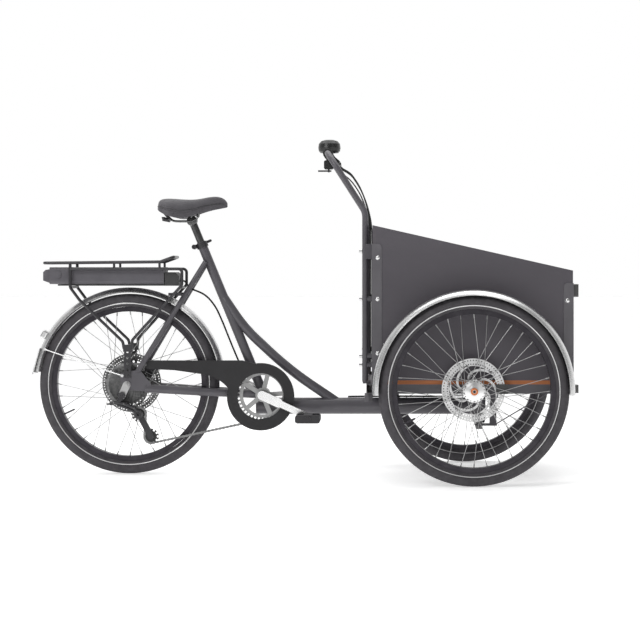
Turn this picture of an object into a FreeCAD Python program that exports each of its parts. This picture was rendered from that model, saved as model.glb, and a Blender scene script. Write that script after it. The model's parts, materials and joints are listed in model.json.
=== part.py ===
"""Electric cargo trike: two front wheels beside a plywood box that steers on a kingpin.

Working axes while modelling, in millimetres: x = 0 on the rear axle and growing forwards,
y = 0 on the centre plane and growing to the rider's left, z = 0 on the ground.
save() moves every sub-part to the row frame, whose origin is the bottom centre of the whole.
"""
import FreeCAD, Part
import math
import os

vec = FreeCAD.Vector
ALONG_Y = vec(0, 1, 0)
UP = vec(0, 0, 1)

# ---------------------------------------------------------------- overall layout
WHEEL_R = 303.5            # 24 inch tyre, ISO 50-507, on all three wheels
WHEELBASE = 1147.0
TRACK_HALF = 390.0
LENGTH_REAR = -327.0       # rearmost point, the mud flap's tip
LENGTH_FRONT = 1487.0      # foremost point, the lamps' lenses
CENTRE_X = (LENGTH_REAR + LENGTH_FRONT) / 2
REAR_AXLE = vec(0, 0, WHEEL_R)
BRACKET = vec(452, 0, 268)           # bottom bracket axis
KINGPIN_X = 1181.0

# ---------------------------------------------------------------- wheels
TYRE_D = 50.0
TYRE_WALL = 5.0
TYRE_CENTRE_R = WHEEL_R - TYRE_D / 2
FLANGE_R = 260.0           # rim flange, over the tyre's bead
RIM_BED_R = 252.0
RIM_INNER_R = 244.0
RIM_HALF = 15.0
RIM_LIP = 2.8
SPOKES = 36
SPOKE_D = 2.0
SPOKE_SWEEP = 60.0         # three-cross lacing
NIPPLE_L = 12.0
ROTOR_R = 101.5
ROTOR_T = 2.0
STUB_R = 8.0
REAR_AXLE_R = 6.0
AXLE_END_R = 5.5           # turned-down end outside each axle nut
AXLE_END_L = 8.0
RUNNING = 0.05             # radial clearance of a shaft in its bore
HUB_FACE = 425.5           # outer end of the front hub shell
ROTOR_Y = 350.0            # front rotor plane
FRONT_FLANGE = 25.0        # front hub flange from the wheel's own plane
FRONT_HOLE_R = 31.0
MOTOR_FLANGE = 24.0
MOTOR_HOLE_R = 56.0
REAR_ROTOR_Y = 46.0

# ---------------------------------------------------------------- drivetrain
CHAIN_PITCH = 12.7
ROLLER_R = 3.9
CHAIN_Y = -40.0
RING_TEETH = 40
COG_TEETH = (34, 28, 24, 21, 18, 15, 12)
COG_STEP = 4.0
PULLEY_TEETH = 11
TOOTH_T = 2.0
PLATE_GAP = 2.2            # centre plane of the chain to the inside of its plates
PLATE_T = 1.0
PLATE_H = 8.4
DERAILLEUR_PIVOT = vec(-16, -78.5, 268)
GUIDE_PULLEY = vec(37, CHAIN_Y, 203)
TENSION_PULLEY = vec(77, CHAIN_Y, 128)
CRANK_L = 172.5
CRANK_ANGLE = -24.8        # right crank, degrees above the horizontal
CRANK_Y = 64.0
CRANK_T = 12.0
PEDAL_W = 92.0
PEDAL_L = 83.0
PEDAL_H = 27.0

# ---------------------------------------------------------------- rear frame
MAIN_TUBE_D = 55.5
MAIN_TUBE_Z = 228.3
SEAT_TOP = vec(240.3, 0, 781.5)
SEAT_TUBE_D = 31.8
SEAT_LEAN = 22.4             # degrees back from the vertical
SEAT_POST_R = 12.7
CLAMP_PIVOT_Y = 24.0
DOWN_TUBE_D = 32.0
CHAIN_STAY_D = 28.0
DROPOUT_IN = 67.5          # half of the over-locknut width
DROPOUT_T = 6.0
HEAD_LOW = 180.0
HEAD_HIGH = 262.0
HEAD_D = 44.0
KINGPIN_R = 10.0
RACK_HALF = 71.0
RACK_D = 10.0

# ---------------------------------------------------------------- box and front frame
BOX_REAR = 824.0
BOX_FRONT = 1469.0
BOX_HALF = 315.0
PANEL_T = 9.0
FLOOR_LOW = 320.0
FLOOR_HIGH = 332.5
FLOOR_RAISE = 1.0          # the floor's middle stands above the ledge that the panels sit on
REAR_TOP = 832.0
FRONT_TOP = 686.0
RAIL_LOW = 289.5
RAIL_W = 20.0
RAIL_WALL = 2.0
YOKE_TOP = RAIL_LOW + 1
ANGLE_LEG = 30.0
ANGLE_T = 2.0
ANGLE_LOW = RAIL_LOW
BAR_D = 20.0
BAR_HALF = 265.0
BAR_X = 800.0
BAR_TOP = vec(676, 0, 1070)
LEVER_PIVOT = vec(704, 0, 1046)
FENDER_R = 322.0


# ================================================================ shape helpers
def polar(centre, radius, degrees):
    """The point at an angle in the XZ plane, counted from +X towards +Z."""
    angle = math.radians(degrees)
    return centre + vec(radius * math.cos(angle), 0, radius * math.sin(angle))


def at_y(point, y):
    return vec(point.x, y, point.z)


def rod(start, end, diameter):
    axis = end - start
    return Part.makeCylinder(diameter / 2, axis.Length, start, axis)


def disc(centre, radius, y0, y1):
    return Part.makeCylinder(radius, y1 - y0, at_y(centre, y0), ALONG_Y)


def ring(centre, outer, inner, y0, y1):
    return disc(centre, outer, y0, y1).cut(disc(centre, inner, y0 - 1, y1 + 1))


def block(x0, x1, y0, y1, z0, z1):
    return Part.makeBox(x1 - x0, y1 - y0, z1 - z0, vec(x0, y0, z0))


def box_tube(x, y, z, wall, along):
    """A rectangular tube from (low, high) spans, open along one axis."""
    spans = {"x": x, "y": y, "z": z}
    inner = {axis: (low + wall, high - wall) for axis, (low, high) in spans.items()}
    low, high = spans[along]
    inner[along] = (low - 1, high + 1)
    return block(*x, *y, *z).cut(block(*inner["x"], *inner["y"], *inner["z"]))


def prism(outline, y0, y1):
    """A plate with an outline of (x, z) points, from y0 to y1."""
    points = [vec(x, y0, z) for x, z in outline]
    face = Part.Face(Part.makePolygon(points + points[:1]))
    return face.extrude(vec(0, y1 - y0, 0))


def hexagon(centre, across_flats, y0, y1):
    radius = across_flats / math.sqrt(3)
    corners = [polar(centre, radius, 30 + 60 * side) for side in range(6)]
    return prism([(p.x, p.z) for p in corners], y0, y1)


def mirrored(shape):
    """The same shape on the other side of the centre plane."""
    return shape.mirror(vec(0, 0, 0), ALONG_Y)


def merge(first, *others):
    return first.fuse(list(others)).removeSplitter() if others else first


def fitted(*shapes):
    """Separate solids that meet face to face: each is cut back from those before it."""
    placed = []
    for shape in shapes:
        near = [other for other in placed if other.BoundBox.intersect(shape.BoundBox)]
        piece = shape.cut(near) if near else shape
        placed.append(max(piece.Solids, key=lambda solid: solid.Volume))
    return placed


def spun(profile, centre):
    """A solid of revolution about Y from (radius, y) points."""
    points = [vec(centre.x + radius, y, centre.z) for radius, y in profile]
    face = Part.Face(Part.makePolygon(points + points[:1]))
    return face.revolve(centre, ALONG_Y, 360)


def path(points, radius=None):
    """Straight runs joined by tangent arcs.

    Without a radius, each arc is as large as 0.45 of its shorter run allows.
    """
    edges = []
    start = points[0]
    for before, corner, after in zip(points, points[1:], points[2:]):
        run_in = (corner - before).Length
        run_out = (after - corner).Length
        into = (corner - before).normalize()
        out = (after - corner).normalize()
        half = into.getAngle(out) / 2
        bend = radius or 0.45 * min(run_in, run_out) / math.tan(half)
        setback = bend * math.tan(half)
        arc_start = corner - into * setback
        arc_end = corner + out * setback
        inward = (out - into).normalize()
        middle = corner + inward * (bend / math.cos(half) - bend)
        edges.append(Part.LineSegment(start, arc_start).toShape())
        edges.append(Part.Arc(arc_start, middle, arc_end).toShape())
        start = arc_end
    edges.append(Part.LineSegment(start, points[-1]).toShape())
    return Part.Wire(edges)


def swept(wire, diameter):
    first = wire.Edges[0]
    start = first.valueAt(first.FirstParameter)
    tangent = first.tangentAt(first.FirstParameter)
    section = Part.Wire(Part.makeCircle(diameter / 2, start, tangent))
    return wire.makePipeShell([section], True, False)


def tube(points, outer, wall=0, radius=None):
    """A bent round tube, or a bent rod when it has no wall."""
    wire = path(points, radius)
    solid = swept(wire, outer)
    if wall:
        solid = solid.cut(swept(wire, outer - 2 * wall))
    return solid


def link(start, end, height, thickness):
    """A flat bar with round ends between two points that share a y."""
    along = end - start
    side = vec(-along.z, 0, along.x).normalize() * (height / 2)
    corners = [start + side, end + side, end - side, start - side]
    y0 = start.y - thickness / 2
    y1 = start.y + thickness / 2
    bar = prism([(p.x, p.z) for p in corners], y0, y1)
    return merge(bar, disc(start, height / 2, y0, y1), disc(end, height / 2, y0, y1))


def toothed(centre, teeth, y):
    """A sprocket blank with a round seat for each roller."""
    pitch_r = pitch_radius(teeth)
    blank = disc(centre, pitch_r + ROLLER_R - 0.3, y - TOOTH_T / 2, y + TOOTH_T / 2)
    seats = []
    for tooth in range(teeth):
        seat = polar(centre, pitch_r, 360 * tooth / teeth)
        seats.append(disc(seat, ROLLER_R, y - TOOTH_T, y + TOOTH_T))
    return blank.cut(Part.makeCompound(seats))


def pitch_radius(teeth):
    return CHAIN_PITCH / 2 / math.sin(math.pi / teeth)


def arc_shell(centre, radius, half_width, crown, thickness, start, end, y):
    """A fender: a crowned strip swept round a wheel from one angle to another."""
    def crown_arc(offset):
        points = []
        for side in (-1, 0, 1):
            drop = crown * side * side
            points.append(vec(centre.x + radius + offset - drop, y + side * half_width, centre.z))
        return points
    outer = crown_arc(0)
    inner = crown_arc(-thickness)
    edges = [Part.Arc(*outer).toShape(),
             Part.LineSegment(outer[2], inner[2]).toShape(),
             Part.Arc(inner[2], inner[1], inner[0]).toShape(),
             Part.LineSegment(inner[0], outer[0]).toShape()]
    face = Part.Face(Part.Wire(edges))
    # turning about -Y lifts +X towards +Z
    face.rotate(centre, -ALONG_Y, start)
    return face.revolve(centre, -ALONG_Y, end - start)


def save(node, *shapes):
    """Write one sub-part, moved to the row frame."""
    solids = [solid for shape in shapes for solid in shape.Solids]
    whole = Part.makeCompound(solids)
    whole.translate(vec(-CENTRE_X, 0, 0))
    if not whole.isValid():
        print("INVALID", node)
    box = whole.optimalBoundingBox(False, False)
    spans = f"x {box.XMin:8.1f} {box.XMax:8.1f}  y {box.YMin:7.1f} {box.YMax:7.1f}"
    print(f"{node:24s} {len(solids):3d} solids  {spans}  z {box.ZMin:7.1f} {box.ZMax:7.1f}")
    whole.exportStep(f"parts/{node}.step")
    EXTENT.add(box)


EXTENT = FreeCAD.BoundBox()


# ================================================================ wheels
def make_tyre(centre):
    y = centre.y
    outer = Part.makeTorus(TYRE_CENTRE_R, TYRE_D / 2, centre, ALONG_Y)
    inner = Part.makeTorus(TYRE_CENTRE_R, TYRE_D / 2 - TYRE_WALL, centre, ALONG_Y)
    carcass = outer.cut(inner)
    carcass = carcass.cut(disc(centre, FLANGE_R + 0.3, y - TYRE_D, y + TYRE_D))
    bead_out = RIM_HALF - RIM_LIP - 0.2
    beads = []
    for side in (-1, 1):
        low = y + min(side * bead_out, side * (bead_out - 3.6))
        beads.append(ring(centre, FLANGE_R + 2, RIM_BED_R + 1, low, low + 3.6))
    return merge(carcass, *beads)


def make_rim(centre):
    y = centre.y
    body = ring(centre, FLANGE_R, RIM_INNER_R, y - RIM_HALF, y + RIM_HALF)
    channel_half = RIM_HALF - RIM_LIP
    channel = ring(centre, FLANGE_R + 1, RIM_BED_R, y - channel_half, y + channel_half)
    chamber = ring(centre, RIM_BED_R - 2, RIM_INNER_R + 2, y - RIM_HALF + 3, y + RIM_HALF - 3)
    valve_top = polar(centre, RIM_INNER_R, 205)
    valve_tip = polar(centre, RIM_INNER_R - 38, 205)
    return [body.cut(channel).cut(chamber), rod(valve_tip, valve_top, 5.5)]


def make_spokes(centre, flange, hole_r):
    """Half of the spokes lead and half trail; each flange holds every second rim hole."""
    solids = []
    for index in range(SPOKES):
        side = 1 if index % 2 else -1
        lead = 1 if (index // 2) % 2 else -1
        rim_angle = 360 * index / SPOKES
        hub_angle = rim_angle + lead * SPOKE_SWEEP
        hub_y = centre.y + side * flange + lead * side * (2.3 + SPOKE_D / 2)
        elbow = at_y(polar(centre, hole_r, hub_angle), hub_y)
        seat = at_y(polar(centre, RIM_INNER_R - 0.6, rim_angle), centre.y + side * 3)
        along = (seat - elbow).normalize()
        wire = rod(elbow, seat, SPOKE_D)
        nipple = rod(seat - along * NIPPLE_L, seat, 4)
        solids.append(wire.fuse(nipple))
    return solids


def make_rotor(centre, y, radius):
    """A brake disc: a drilled ring on six swept arms round a bolted centre."""
    y0 = y - ROTOR_T / 2
    y1 = y + ROTOR_T / 2
    band = ring(centre, radius, radius - 20, y0, y1)
    hub = ring(centre, 27, 18, y0, y1)
    arms = []
    for arm in range(6):
        start = polar(centre, 24, 60 * arm)
        middle = polar(centre, 54, 60 * arm + 12)
        end = polar(centre, radius - 18, 60 * arm + 45)
        arms.append(link(at_y(start, y), at_y(middle, y), 11, ROTOR_T))
        arms.append(link(at_y(middle, y), at_y(end, y), 10, ROTOR_T))
    holes = []
    for hole in range(48):
        row = radius - 6.5 if hole % 2 else radius - 13.5
        spot = polar(centre, row, 7.5 * hole)
        holes.append(disc(spot, 2.0, y0 - 1, y1 + 1))
    for bolt in range(6):
        holes.append(disc(polar(centre, 22, 60 * bolt + 30), 2.2, y0 - 1, y1 + 1))
    return merge(band, hub, *arms).cut(Part.makeCompound(holes))


def make_front_hub(centre, side):
    """Shell with two flanges, the domed outer one bright, bored for the stub axle."""
    def out(distance):
        return side * distance
    y = TRACK_HALF
    flange = FRONT_FLANGE
    bore = STUB_R + RUNNING
    profile = [(bore, ROTOR_Y + 1), (26, ROTOR_Y + 1), (26, ROTOR_Y + 4), (15, ROTOR_Y + 6),
               (15, y - flange - 5), (27, y - flange - 1.5), (35, y - flange - 1.5),
               (35, y - flange + 1.5), (27, y - flange + 1.5), (16, y - flange + 8),
               (16, y + flange - 8), (27, y + flange - 1.5), (36, y + flange - 1.5),
               (36, y + flange + 1.5), (27, y + flange + 1.5), (15, HUB_FACE - 3),
               (15, HUB_FACE), (bore, HUB_FACE)]
    return spun([(radius, out(distance)) for radius, distance in profile], centre)


def make_motor_hub():
    """Geared hub motor with its freehub on the right and the brake carrier on the left."""
    bore = REAR_AXLE_R + RUNNING
    flange = MOTOR_FLANGE
    profile = [(bore, -66.5), (15, -66.5), (15, -36), (30, -33), (50, -29), (54, -flange - 1.5),
               (60, -flange - 1.5), (60, -flange + 1.5), (54, -flange + 1.5), (54, flange - 1.5),
               (60, flange - 1.5), (60, flange + 1.5), (54, flange + 1.5), (50, 29), (26, 33),
               (26, REAR_ROTOR_Y - 1), (15, REAR_ROTOR_Y - 1), (15, 66.5), (bore, 66.5)]
    return spun(profile, REAR_AXLE)


def build_wheels():
    for name, side in (("right", -1), ("left", 1)):
        centre = vec(WHEELBASE, side * TRACK_HALF, WHEEL_R)
        axis = at_y(centre, 0)
        save(f"{name}_tyre", make_tyre(centre))
        save(f"{name}_rim", *make_rim(centre))
        save(f"{name}_spokes", *make_spokes(centre, FRONT_FLANGE, FRONT_HOLE_R))
        save(f"{name}_hub", make_front_hub(axis, side))
        save(f"{name}_rotor", make_rotor(axis, side * ROTOR_Y, ROTOR_R))
    save("rear_tyre", make_tyre(REAR_AXLE))
    save("rear_rim", *make_rim(REAR_AXLE))
    save("rear_spokes", *make_spokes(REAR_AXLE, MOTOR_FLANGE, MOTOR_HOLE_R))
    save("rear_hub", make_motor_hub())
    save("rear_rotor", make_rotor(REAR_AXLE, REAR_ROTOR_Y, 100.0))


# ================================================================ rear axle and drivetrain
def build_rear_axle():
    plate_out = DROPOUT_IN + DROPOUT_T
    nut_face = plate_out + 15
    axle = disc(REAR_AXLE, REAR_AXLE_R, -nut_face, nut_face)
    ends = disc(REAR_AXLE, AXLE_END_R, -nut_face - AXLE_END_L, nut_face + AXLE_END_L)
    axle = axle.fuse(ends)
    nuts = []
    hole = disc(REAR_AXLE, REAR_AXLE_R, -99, 99)
    for side in (-1, 1):
        near = side * (plate_out + 5)
        far = side * nut_face
        nuts.append(hexagon(REAR_AXLE, 18, min(near, far), max(near, far)).cut(hole))
    hanger_y = -plate_out - 2.5
    hanger = link(at_y(REAR_AXLE, hanger_y), at_y(DERAILLEUR_PIVOT, hanger_y), 25, 5).cut(hole)
    washer = ring(REAR_AXLE, 14, REAR_AXLE_R, plate_out, plate_out + 5)
    save("rear_axle", axle, *nuts, hanger, washer)


def chain_loop(offset):
    """The chain's line, moved out by an offset, as one closed wire in the plane of y = 0.

    It runs round the chainring, over and behind the cassette, down the front of the guide
    pulley, behind and under the tension pulley and back.
    """
    ring_r = pitch_radius(RING_TEETH)
    cog_r = pitch_radius(COG_TEETH[0])
    pulley_r = pitch_radius(PULLEY_TEETH)
    # every wheel is (centre, radius, turn): turn is +1 where the loop goes round it
    # anticlockwise as seen from the right, with +X to the right
    wheels = [(BRACKET, ring_r + offset, 1), (REAR_AXLE, cog_r + offset, 1),
              (GUIDE_PULLEY, pulley_r - offset, -1), (TENSION_PULLEY, pulley_r + offset, 1)]
    leave = []
    arrive = []
    count = len(wheels)
    for index in range(count):
        centre_a, radius_a, turn_a = wheels[index]
        centre_b, radius_b, turn_b = wheels[(index + 1) % count]
        dx = centre_b.x - centre_a.x
        dz = centre_b.z - centre_a.z
        span = math.hypot(dx, dz)
        heading = math.atan2(dz, dx)
        tilt = math.asin((turn_a * radius_a - turn_b * radius_b) / span)
        direction = heading + tilt
        # the contact lies to the right of the line of travel for an anticlockwise wheel
        normal_x = math.sin(direction)
        normal_z = -math.cos(direction)
        leave.append(vec(centre_a.x + turn_a * radius_a * normal_x, 0,
                         centre_a.z + turn_a * radius_a * normal_z))
        arrive.append(vec(centre_b.x + turn_b * radius_b * normal_x, 0,
                          centre_b.z + turn_b * radius_b * normal_z))
    edges = []
    for index in range(count):
        centre, radius, turn = wheels[index]
        start = arrive[index - 1]
        end = leave[index]
        a0 = math.atan2(start.z - centre.z, start.x - centre.x)
        a1 = math.atan2(end.z - centre.z, end.x - centre.x)
        sweep = (a1 - a0) % (2 * math.pi)
        if turn < 0:
            sweep -= 2 * math.pi
        middle = a0 + sweep / 2
        through = vec(centre.x + radius * math.cos(middle), 0,
                      centre.z + radius * math.sin(middle))
        edges.append(Part.Arc(start, through, end).toShape())
        edges.append(Part.LineSegment(end, arrive[index]).toShape())
    return Part.Wire(edges)


def build_chain():
    """Two bands of side plates that straddle the teeth."""
    outer = Part.Face(chain_loop(PLATE_H / 2))
    inner = Part.Face(chain_loop(-PLATE_H / 2))
    bands = []
    for side in (-1, 1):
        low = CHAIN_Y + min(side * PLATE_GAP, side * (PLATE_GAP + PLATE_T))
        outline = outer.extrude(vec(0, PLATE_T, 0)).cut(inner.extrude(vec(0, PLATE_T, 0)))
        outline.translate(vec(0, low, 0))
        bands.append(outline)
    save("chain", *bands)


def build_crankset():
    ring_band = toothed(BRACKET, RING_TEETH, CHAIN_Y)
    ring_band = ring_band.cut(disc(BRACKET, 66, CHAIN_Y - 9, CHAIN_Y + 9))
    spider_y = CHAIN_Y - 4
    boss = ring(BRACKET, 24, 8.4, spider_y - 4, spider_y + 2.5)
    spider_angles = [76 + 72 * arm for arm in range(5)]
    arms = []
    for angle in spider_angles:
        tip = polar(BRACKET, 66, angle)
        root = polar(BRACKET, 16, angle)
        arms.append(link(at_y(root, spider_y), at_y(tip, spider_y), 15, 5))
    spider = merge(boss, *arms).cut(disc(BRACKET, 8.4, -60, 0))
    bolts = []
    for angle in spider_angles:
        bolts.append(disc(polar(BRACKET, 69, angle), 3.5, spider_y - 1, CHAIN_Y + 1))
    save("chainring", merge(ring_band, spider, *bolts))

    spindle = disc(BRACKET, 8.3, -CRANK_Y - 8, CRANK_Y + 8)
    cranks = []
    for side, angle in ((-1, CRANK_ANGLE), (1, CRANK_ANGLE + 180)):
        y = side * (CRANK_Y + CRANK_T / 2)
        tip = at_y(polar(BRACKET, CRANK_L, angle), y)
        root = at_y(BRACKET, y)
        wide = link(root, root + (tip - root) * 0.35, 30, CRANK_T)
        slim = link(root, tip, 22, CRANK_T)
        eye = disc(tip, 7.1, y - 20, y + 20)
        cranks.append(merge(wide, slim).cut(eye).cut(spindle))
    save("crank_arms", spindle, *cranks)

    for name, side, angle in (("right", -1, CRANK_ANGLE), ("left", 1, CRANK_ANGLE + 180)):
        save(f"pedal_{name}", *make_pedal(side, polar(BRACKET, CRANK_L, angle)))


def make_pedal(side, centre):
    """A resin body with a tread frame round the spindle, which screws into the crank."""
    def span(near, far):
        return min(side * near, side * far), max(side * near, side * far)
    start = CRANK_Y + CRANK_T + 6
    tail = start + PEDAL_W
    y0, y1 = span(start, tail)
    body = block(centre.x - PEDAL_L / 2, centre.x + PEDAL_L / 2, y0, y1,
                 centre.z - PEDAL_H / 2, centre.z + PEDAL_H / 2)
    edges = [edge for edge in body.Edges if abs(edge.tangentAt(0).y) > 0.9]
    body = body.makeFillet(9, edges)
    for window_side in (-1, 1):
        w0 = centre.x + window_side * 25 - 11
        n0, n1 = span(start + 12, tail - 12)
        body = body.cut(block(w0, w0 + 22, n0, n1, centre.z - 40, centre.z + 40))
    s0, s1 = span(CRANK_Y, tail)
    c0, c1 = span(tail, tail + 5)
    spindle = disc(centre, 7.0, s0, s1)
    return [body.cut(spindle), spindle, disc(centre, 10, c0, c1)]


def build_cassette():
    cogs = []
    for index, teeth in enumerate(COG_TEETH):
        cogs.append(toothed(REAR_AXLE, teeth, CHAIN_Y - COG_STEP * index))
    last = CHAIN_Y - COG_STEP * (len(COG_TEETH) - 1)
    core = disc(REAR_AXLE, 19, last - 1.4, CHAIN_Y + 1.4)
    bore = disc(REAR_AXLE, 15 + RUNNING, -80, 0)
    save("cassette", merge(core, *cogs).cut(bore))


def build_derailleur():
    knuckle = disc(DERAILLEUR_PIVOT, 12, -96, -78.5)
    # two parallel links lead down, forwards and inboard to the lower knuckle
    links = []
    for rise in (-6, 7):
        start = vec(-12, -86, 262 + rise)
        end = vec(37, -62, 208 + rise)
        links.append(rod(start, end, 11))
    lower = disc(GUIDE_PULLEY, 15, -67, -50)
    adjuster = rod(vec(-62, -88, 240), vec(-26, -88, 262), 8)
    hanger_space = block(-40, 30, -78.5, -66, 250, 330)
    body = merge(knuckle, *links, lower, adjuster).cut(hanger_space)
    body = body.cut(disc(GUIDE_PULLEY, 4 + RUNNING, -63, -40))
    save("derailleur_body", max(body.Solids, key=lambda solid: solid.Volume))

    plates = []
    for low in (CHAIN_Y - 6.5, CHAIN_Y + 4.5):
        start = at_y(GUIDE_PULLEY, low + 1)
        end = at_y(TENSION_PULLEY, low + 1)
        plates.append(link(start, end, 20, 2))
    pivot = disc(GUIDE_PULLEY, 4, -60, CHAIN_Y + 6.5)
    pin = disc(TENSION_PULLEY, 3, CHAIN_Y - 6.5, CHAIN_Y + 6.5)
    save("derailleur_cage", merge(plates[0], plates[1], pivot, pin))
    for name, centre, pin_r in (("guide", GUIDE_PULLEY, 4), ("tension", TENSION_PULLEY, 3)):
        pulley = toothed(centre, PULLEY_TEETH, CHAIN_Y)
        pulley = merge(pulley, disc(centre, 9, CHAIN_Y - 1.9, CHAIN_Y + 1.9))
        bore = disc(centre, pin_r + RUNNING, CHAIN_Y - 9, CHAIN_Y + 9)
        save(f"{name}_pulley", pulley.cut(bore))


def build_chain_guard():
    """A shell over the chain: a round front with a window, and an arm along the upper run."""
    face_y = -54.5
    deep = -43.0
    outline = [vec(63, face_y, 356), vec(159, face_y, 351), vec(250, face_y, 338),
               vec(312, face_y, 314), vec(340, face_y, 288)]
    centre = at_y(BRACKET + vec(-6, 0, -6), face_y)
    outer_r = 113.0
    window_r = 77.0
    low_join = polar(centre, outer_r, 165)
    top_join = polar(centre, outer_r, 100)
    edges = [Part.LineSegment(vec(63, face_y, 384), outline[0]).toShape()]
    edges.append(Part.LineSegment(outline[0], outline[1]).toShape())
    edges.append(Part.LineSegment(outline[1], outline[2]).toShape())
    edges.append(Part.Arc(outline[2], outline[3], low_join).toShape())
    edges.append(Part.Arc(low_join, polar(centre, outer_r, 310), top_join).toShape())
    top_bend = vec(385, face_y, 384)
    edges.append(Part.Arc(top_join, vec(410, face_y, 376.5), top_bend).toShape())
    edges.append(Part.LineSegment(top_bend, vec(63, face_y, 384)).toShape())
    wire = Part.Wire(edges)
    solid = Part.Face(wire).extrude(vec(0, deep - face_y, 0))
    inner_wire = wire.makeOffset2D(-2.0, 2)
    hollow = Part.Face(inner_wire).extrude(vec(0, deep - face_y + 5, 0))
    hollow.translate(vec(0, 2.5, 0))
    shell = solid.cut(hollow)
    shell = shell.cut(disc(centre + vec(0, 0, 2), window_r, -60, -40))
    # the underside of the arm and its rear end are open, so that the chain can run out
    shell = shell.cut(block(50, 300, face_y + 2.5, deep + 5, 320, 366.5))
    shell = shell.cut(block(50, 68, face_y + 2.5, deep + 5, 330, 381.5))
    # the lower run leaves through the skirt
    shell = shell.cut(block(330, 470, face_y + 2.5, deep + 5, 140, 200))
    save("chain_guard", shell)


# ================================================================ rear frame
def seat_axis_point(distance):
    """A point on the seat tube's axis, at a distance below its top."""
    foot = at_y(BRACKET, 0)
    return SEAT_TOP + (foot - SEAT_TOP).normalize() * distance


def build_frame():
    shell = disc(BRACKET, 21, -34, 34)
    tube_start = vec(BRACKET.x - 24, 0, MAIN_TUBE_Z)
    tube_end = vec(KINGPIN_X, 0, MAIN_TUBE_Z)
    main_outer = rod(tube_start, tube_end, MAIN_TUBE_D)
    main_inner = rod(tube_start + vec(2, 0, 0), tube_end, MAIN_TUBE_D - 5)
    head = Part.makeCylinder(HEAD_D / 2, HEAD_HIGH - HEAD_LOW, vec(KINGPIN_X, 0, HEAD_LOW))
    head_bore = Part.makeCylinder(17, 200, vec(KINGPIN_X, 0, 120))
    bracket_bore = disc(BRACKET, 17, -40, 40)
    main = merge(main_outer.cut(main_inner), head, shell)
    main = main.cut(head_bore).cut(bracket_bore)
    save("main_tube", main)

    # steering bearings at both ends of the head tube and the bottom bracket's cartridge
    low = Part.makeCone(19, 21, 8, vec(KINGPIN_X, 0, HEAD_LOW - 8))
    low = low.fuse(Part.makeCylinder(16.9, 12, vec(KINGPIN_X, 0, HEAD_LOW)))
    high = Part.makeCylinder(21, 6, vec(KINGPIN_X, 0, HEAD_HIGH))
    high = high.fuse(Part.makeCylinder(16.9, 12, vec(KINGPIN_X, 0, HEAD_HIGH - 12)))
    pin_hole = Part.makeCylinder(KINGPIN_R + RUNNING, 300, vec(KINGPIN_X, 0, 100))
    cartridge = ring(BRACKET, 16.9, 8.3 + RUNNING, -34, 34)
    save("bearings", low.cut(pin_hole), high.cut(pin_hole), cartridge)

    seat_low = seat_axis_point((BRACKET - SEAT_TOP).Length)
    seat_outer = rod(SEAT_TOP, seat_low, SEAT_TUBE_D)
    seat_bore = rod(SEAT_TOP, seat_low, 2 * (SEAT_POST_R + RUNNING))
    slit = block(-60, 0, -1, 1, -34, 4)
    slit.rotate(vec(0, 0, 0), ALONG_Y, -SEAT_LEAN)
    slit.translate(SEAT_TOP)
    seat = seat_outer.cut(seat_bore).cut(disc(BRACKET, 21, -40, 40)).cut(main_outer).cut(slit)
    save("seat_tube", max(seat.Solids, key=lambda solid: solid.Volume))

    down_line = [vec(318, 0, 594), vec(388, 0, 491), vec(540, 0, 349), vec(708, 0, 236)]
    down = tube(down_line, DOWN_TUBE_D, 2.5).cut(seat_outer).cut(main_outer)
    save("down_tube", max(down.Solids, key=lambda solid: solid.Volume))

    build_rear_stays(seat_outer, shell, main_outer)
    build_seat(seat_low)


def build_rear_stays(seat_outer, shell, main_outer):
    stays = []
    for side in (-1, 1):
        plate_in = DROPOUT_IN
        plate_out = DROPOUT_IN + DROPOUT_T
        y0 = min(side * plate_in, side * plate_out)
        outline = [(-22, 322), (-22, 342), (14, 350), (44, 352), (80, 306), (80, 280), (30, 284),
                   (-12, 288)]
        plate = prism(outline, y0, y0 + DROPOUT_T).cut(disc(REAR_AXLE, REAR_AXLE_R, -99, 99))
        chain_stay = tube([vec(446, side * 19, 268), vec(352, side * 22, 273),
                           vec(280, side * 42, 277), vec(62, side * 66, 291)],
                          CHAIN_STAY_D, 2)
        seat_stay = rod(vec(258, side * 25, 714), vec(34, side * 69, 345), 18)
        hollow = rod(vec(258, side * 25, 714), vec(34, side * 69, 345), 15)
        cog_space = disc(REAR_AXLE, 50, *sorted((side * 30, side * (plate_in - 0.5))))
        side_set = merge(plate, chain_stay.cut(cog_space), seat_stay.cut(hollow).cut(cog_space))
        side_set = side_set.cut(seat_outer).cut(shell).cut(main_outer)
        side_set = side_set.cut(disc(REAR_AXLE, REAR_AXLE_R, -99, 99))
        stays.append(max(side_set.Solids, key=lambda solid: solid.Volume))
    stay_space = []
    for side in (-1, 1):
        stay_space.append(rod(vec(258, side * 25, 714), vec(34, side * 69, 345), 18))
    bridge = rod(vec(216.5, -32, 644.5), vec(216.5, 32, 644.5), 12)
    bridge = bridge.cut(stay_space[0]).cut(stay_space[1])
    bridge = max(bridge.Solids, key=lambda solid: solid.Volume)
    save("rear_stays", *stays, bridge)


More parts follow.
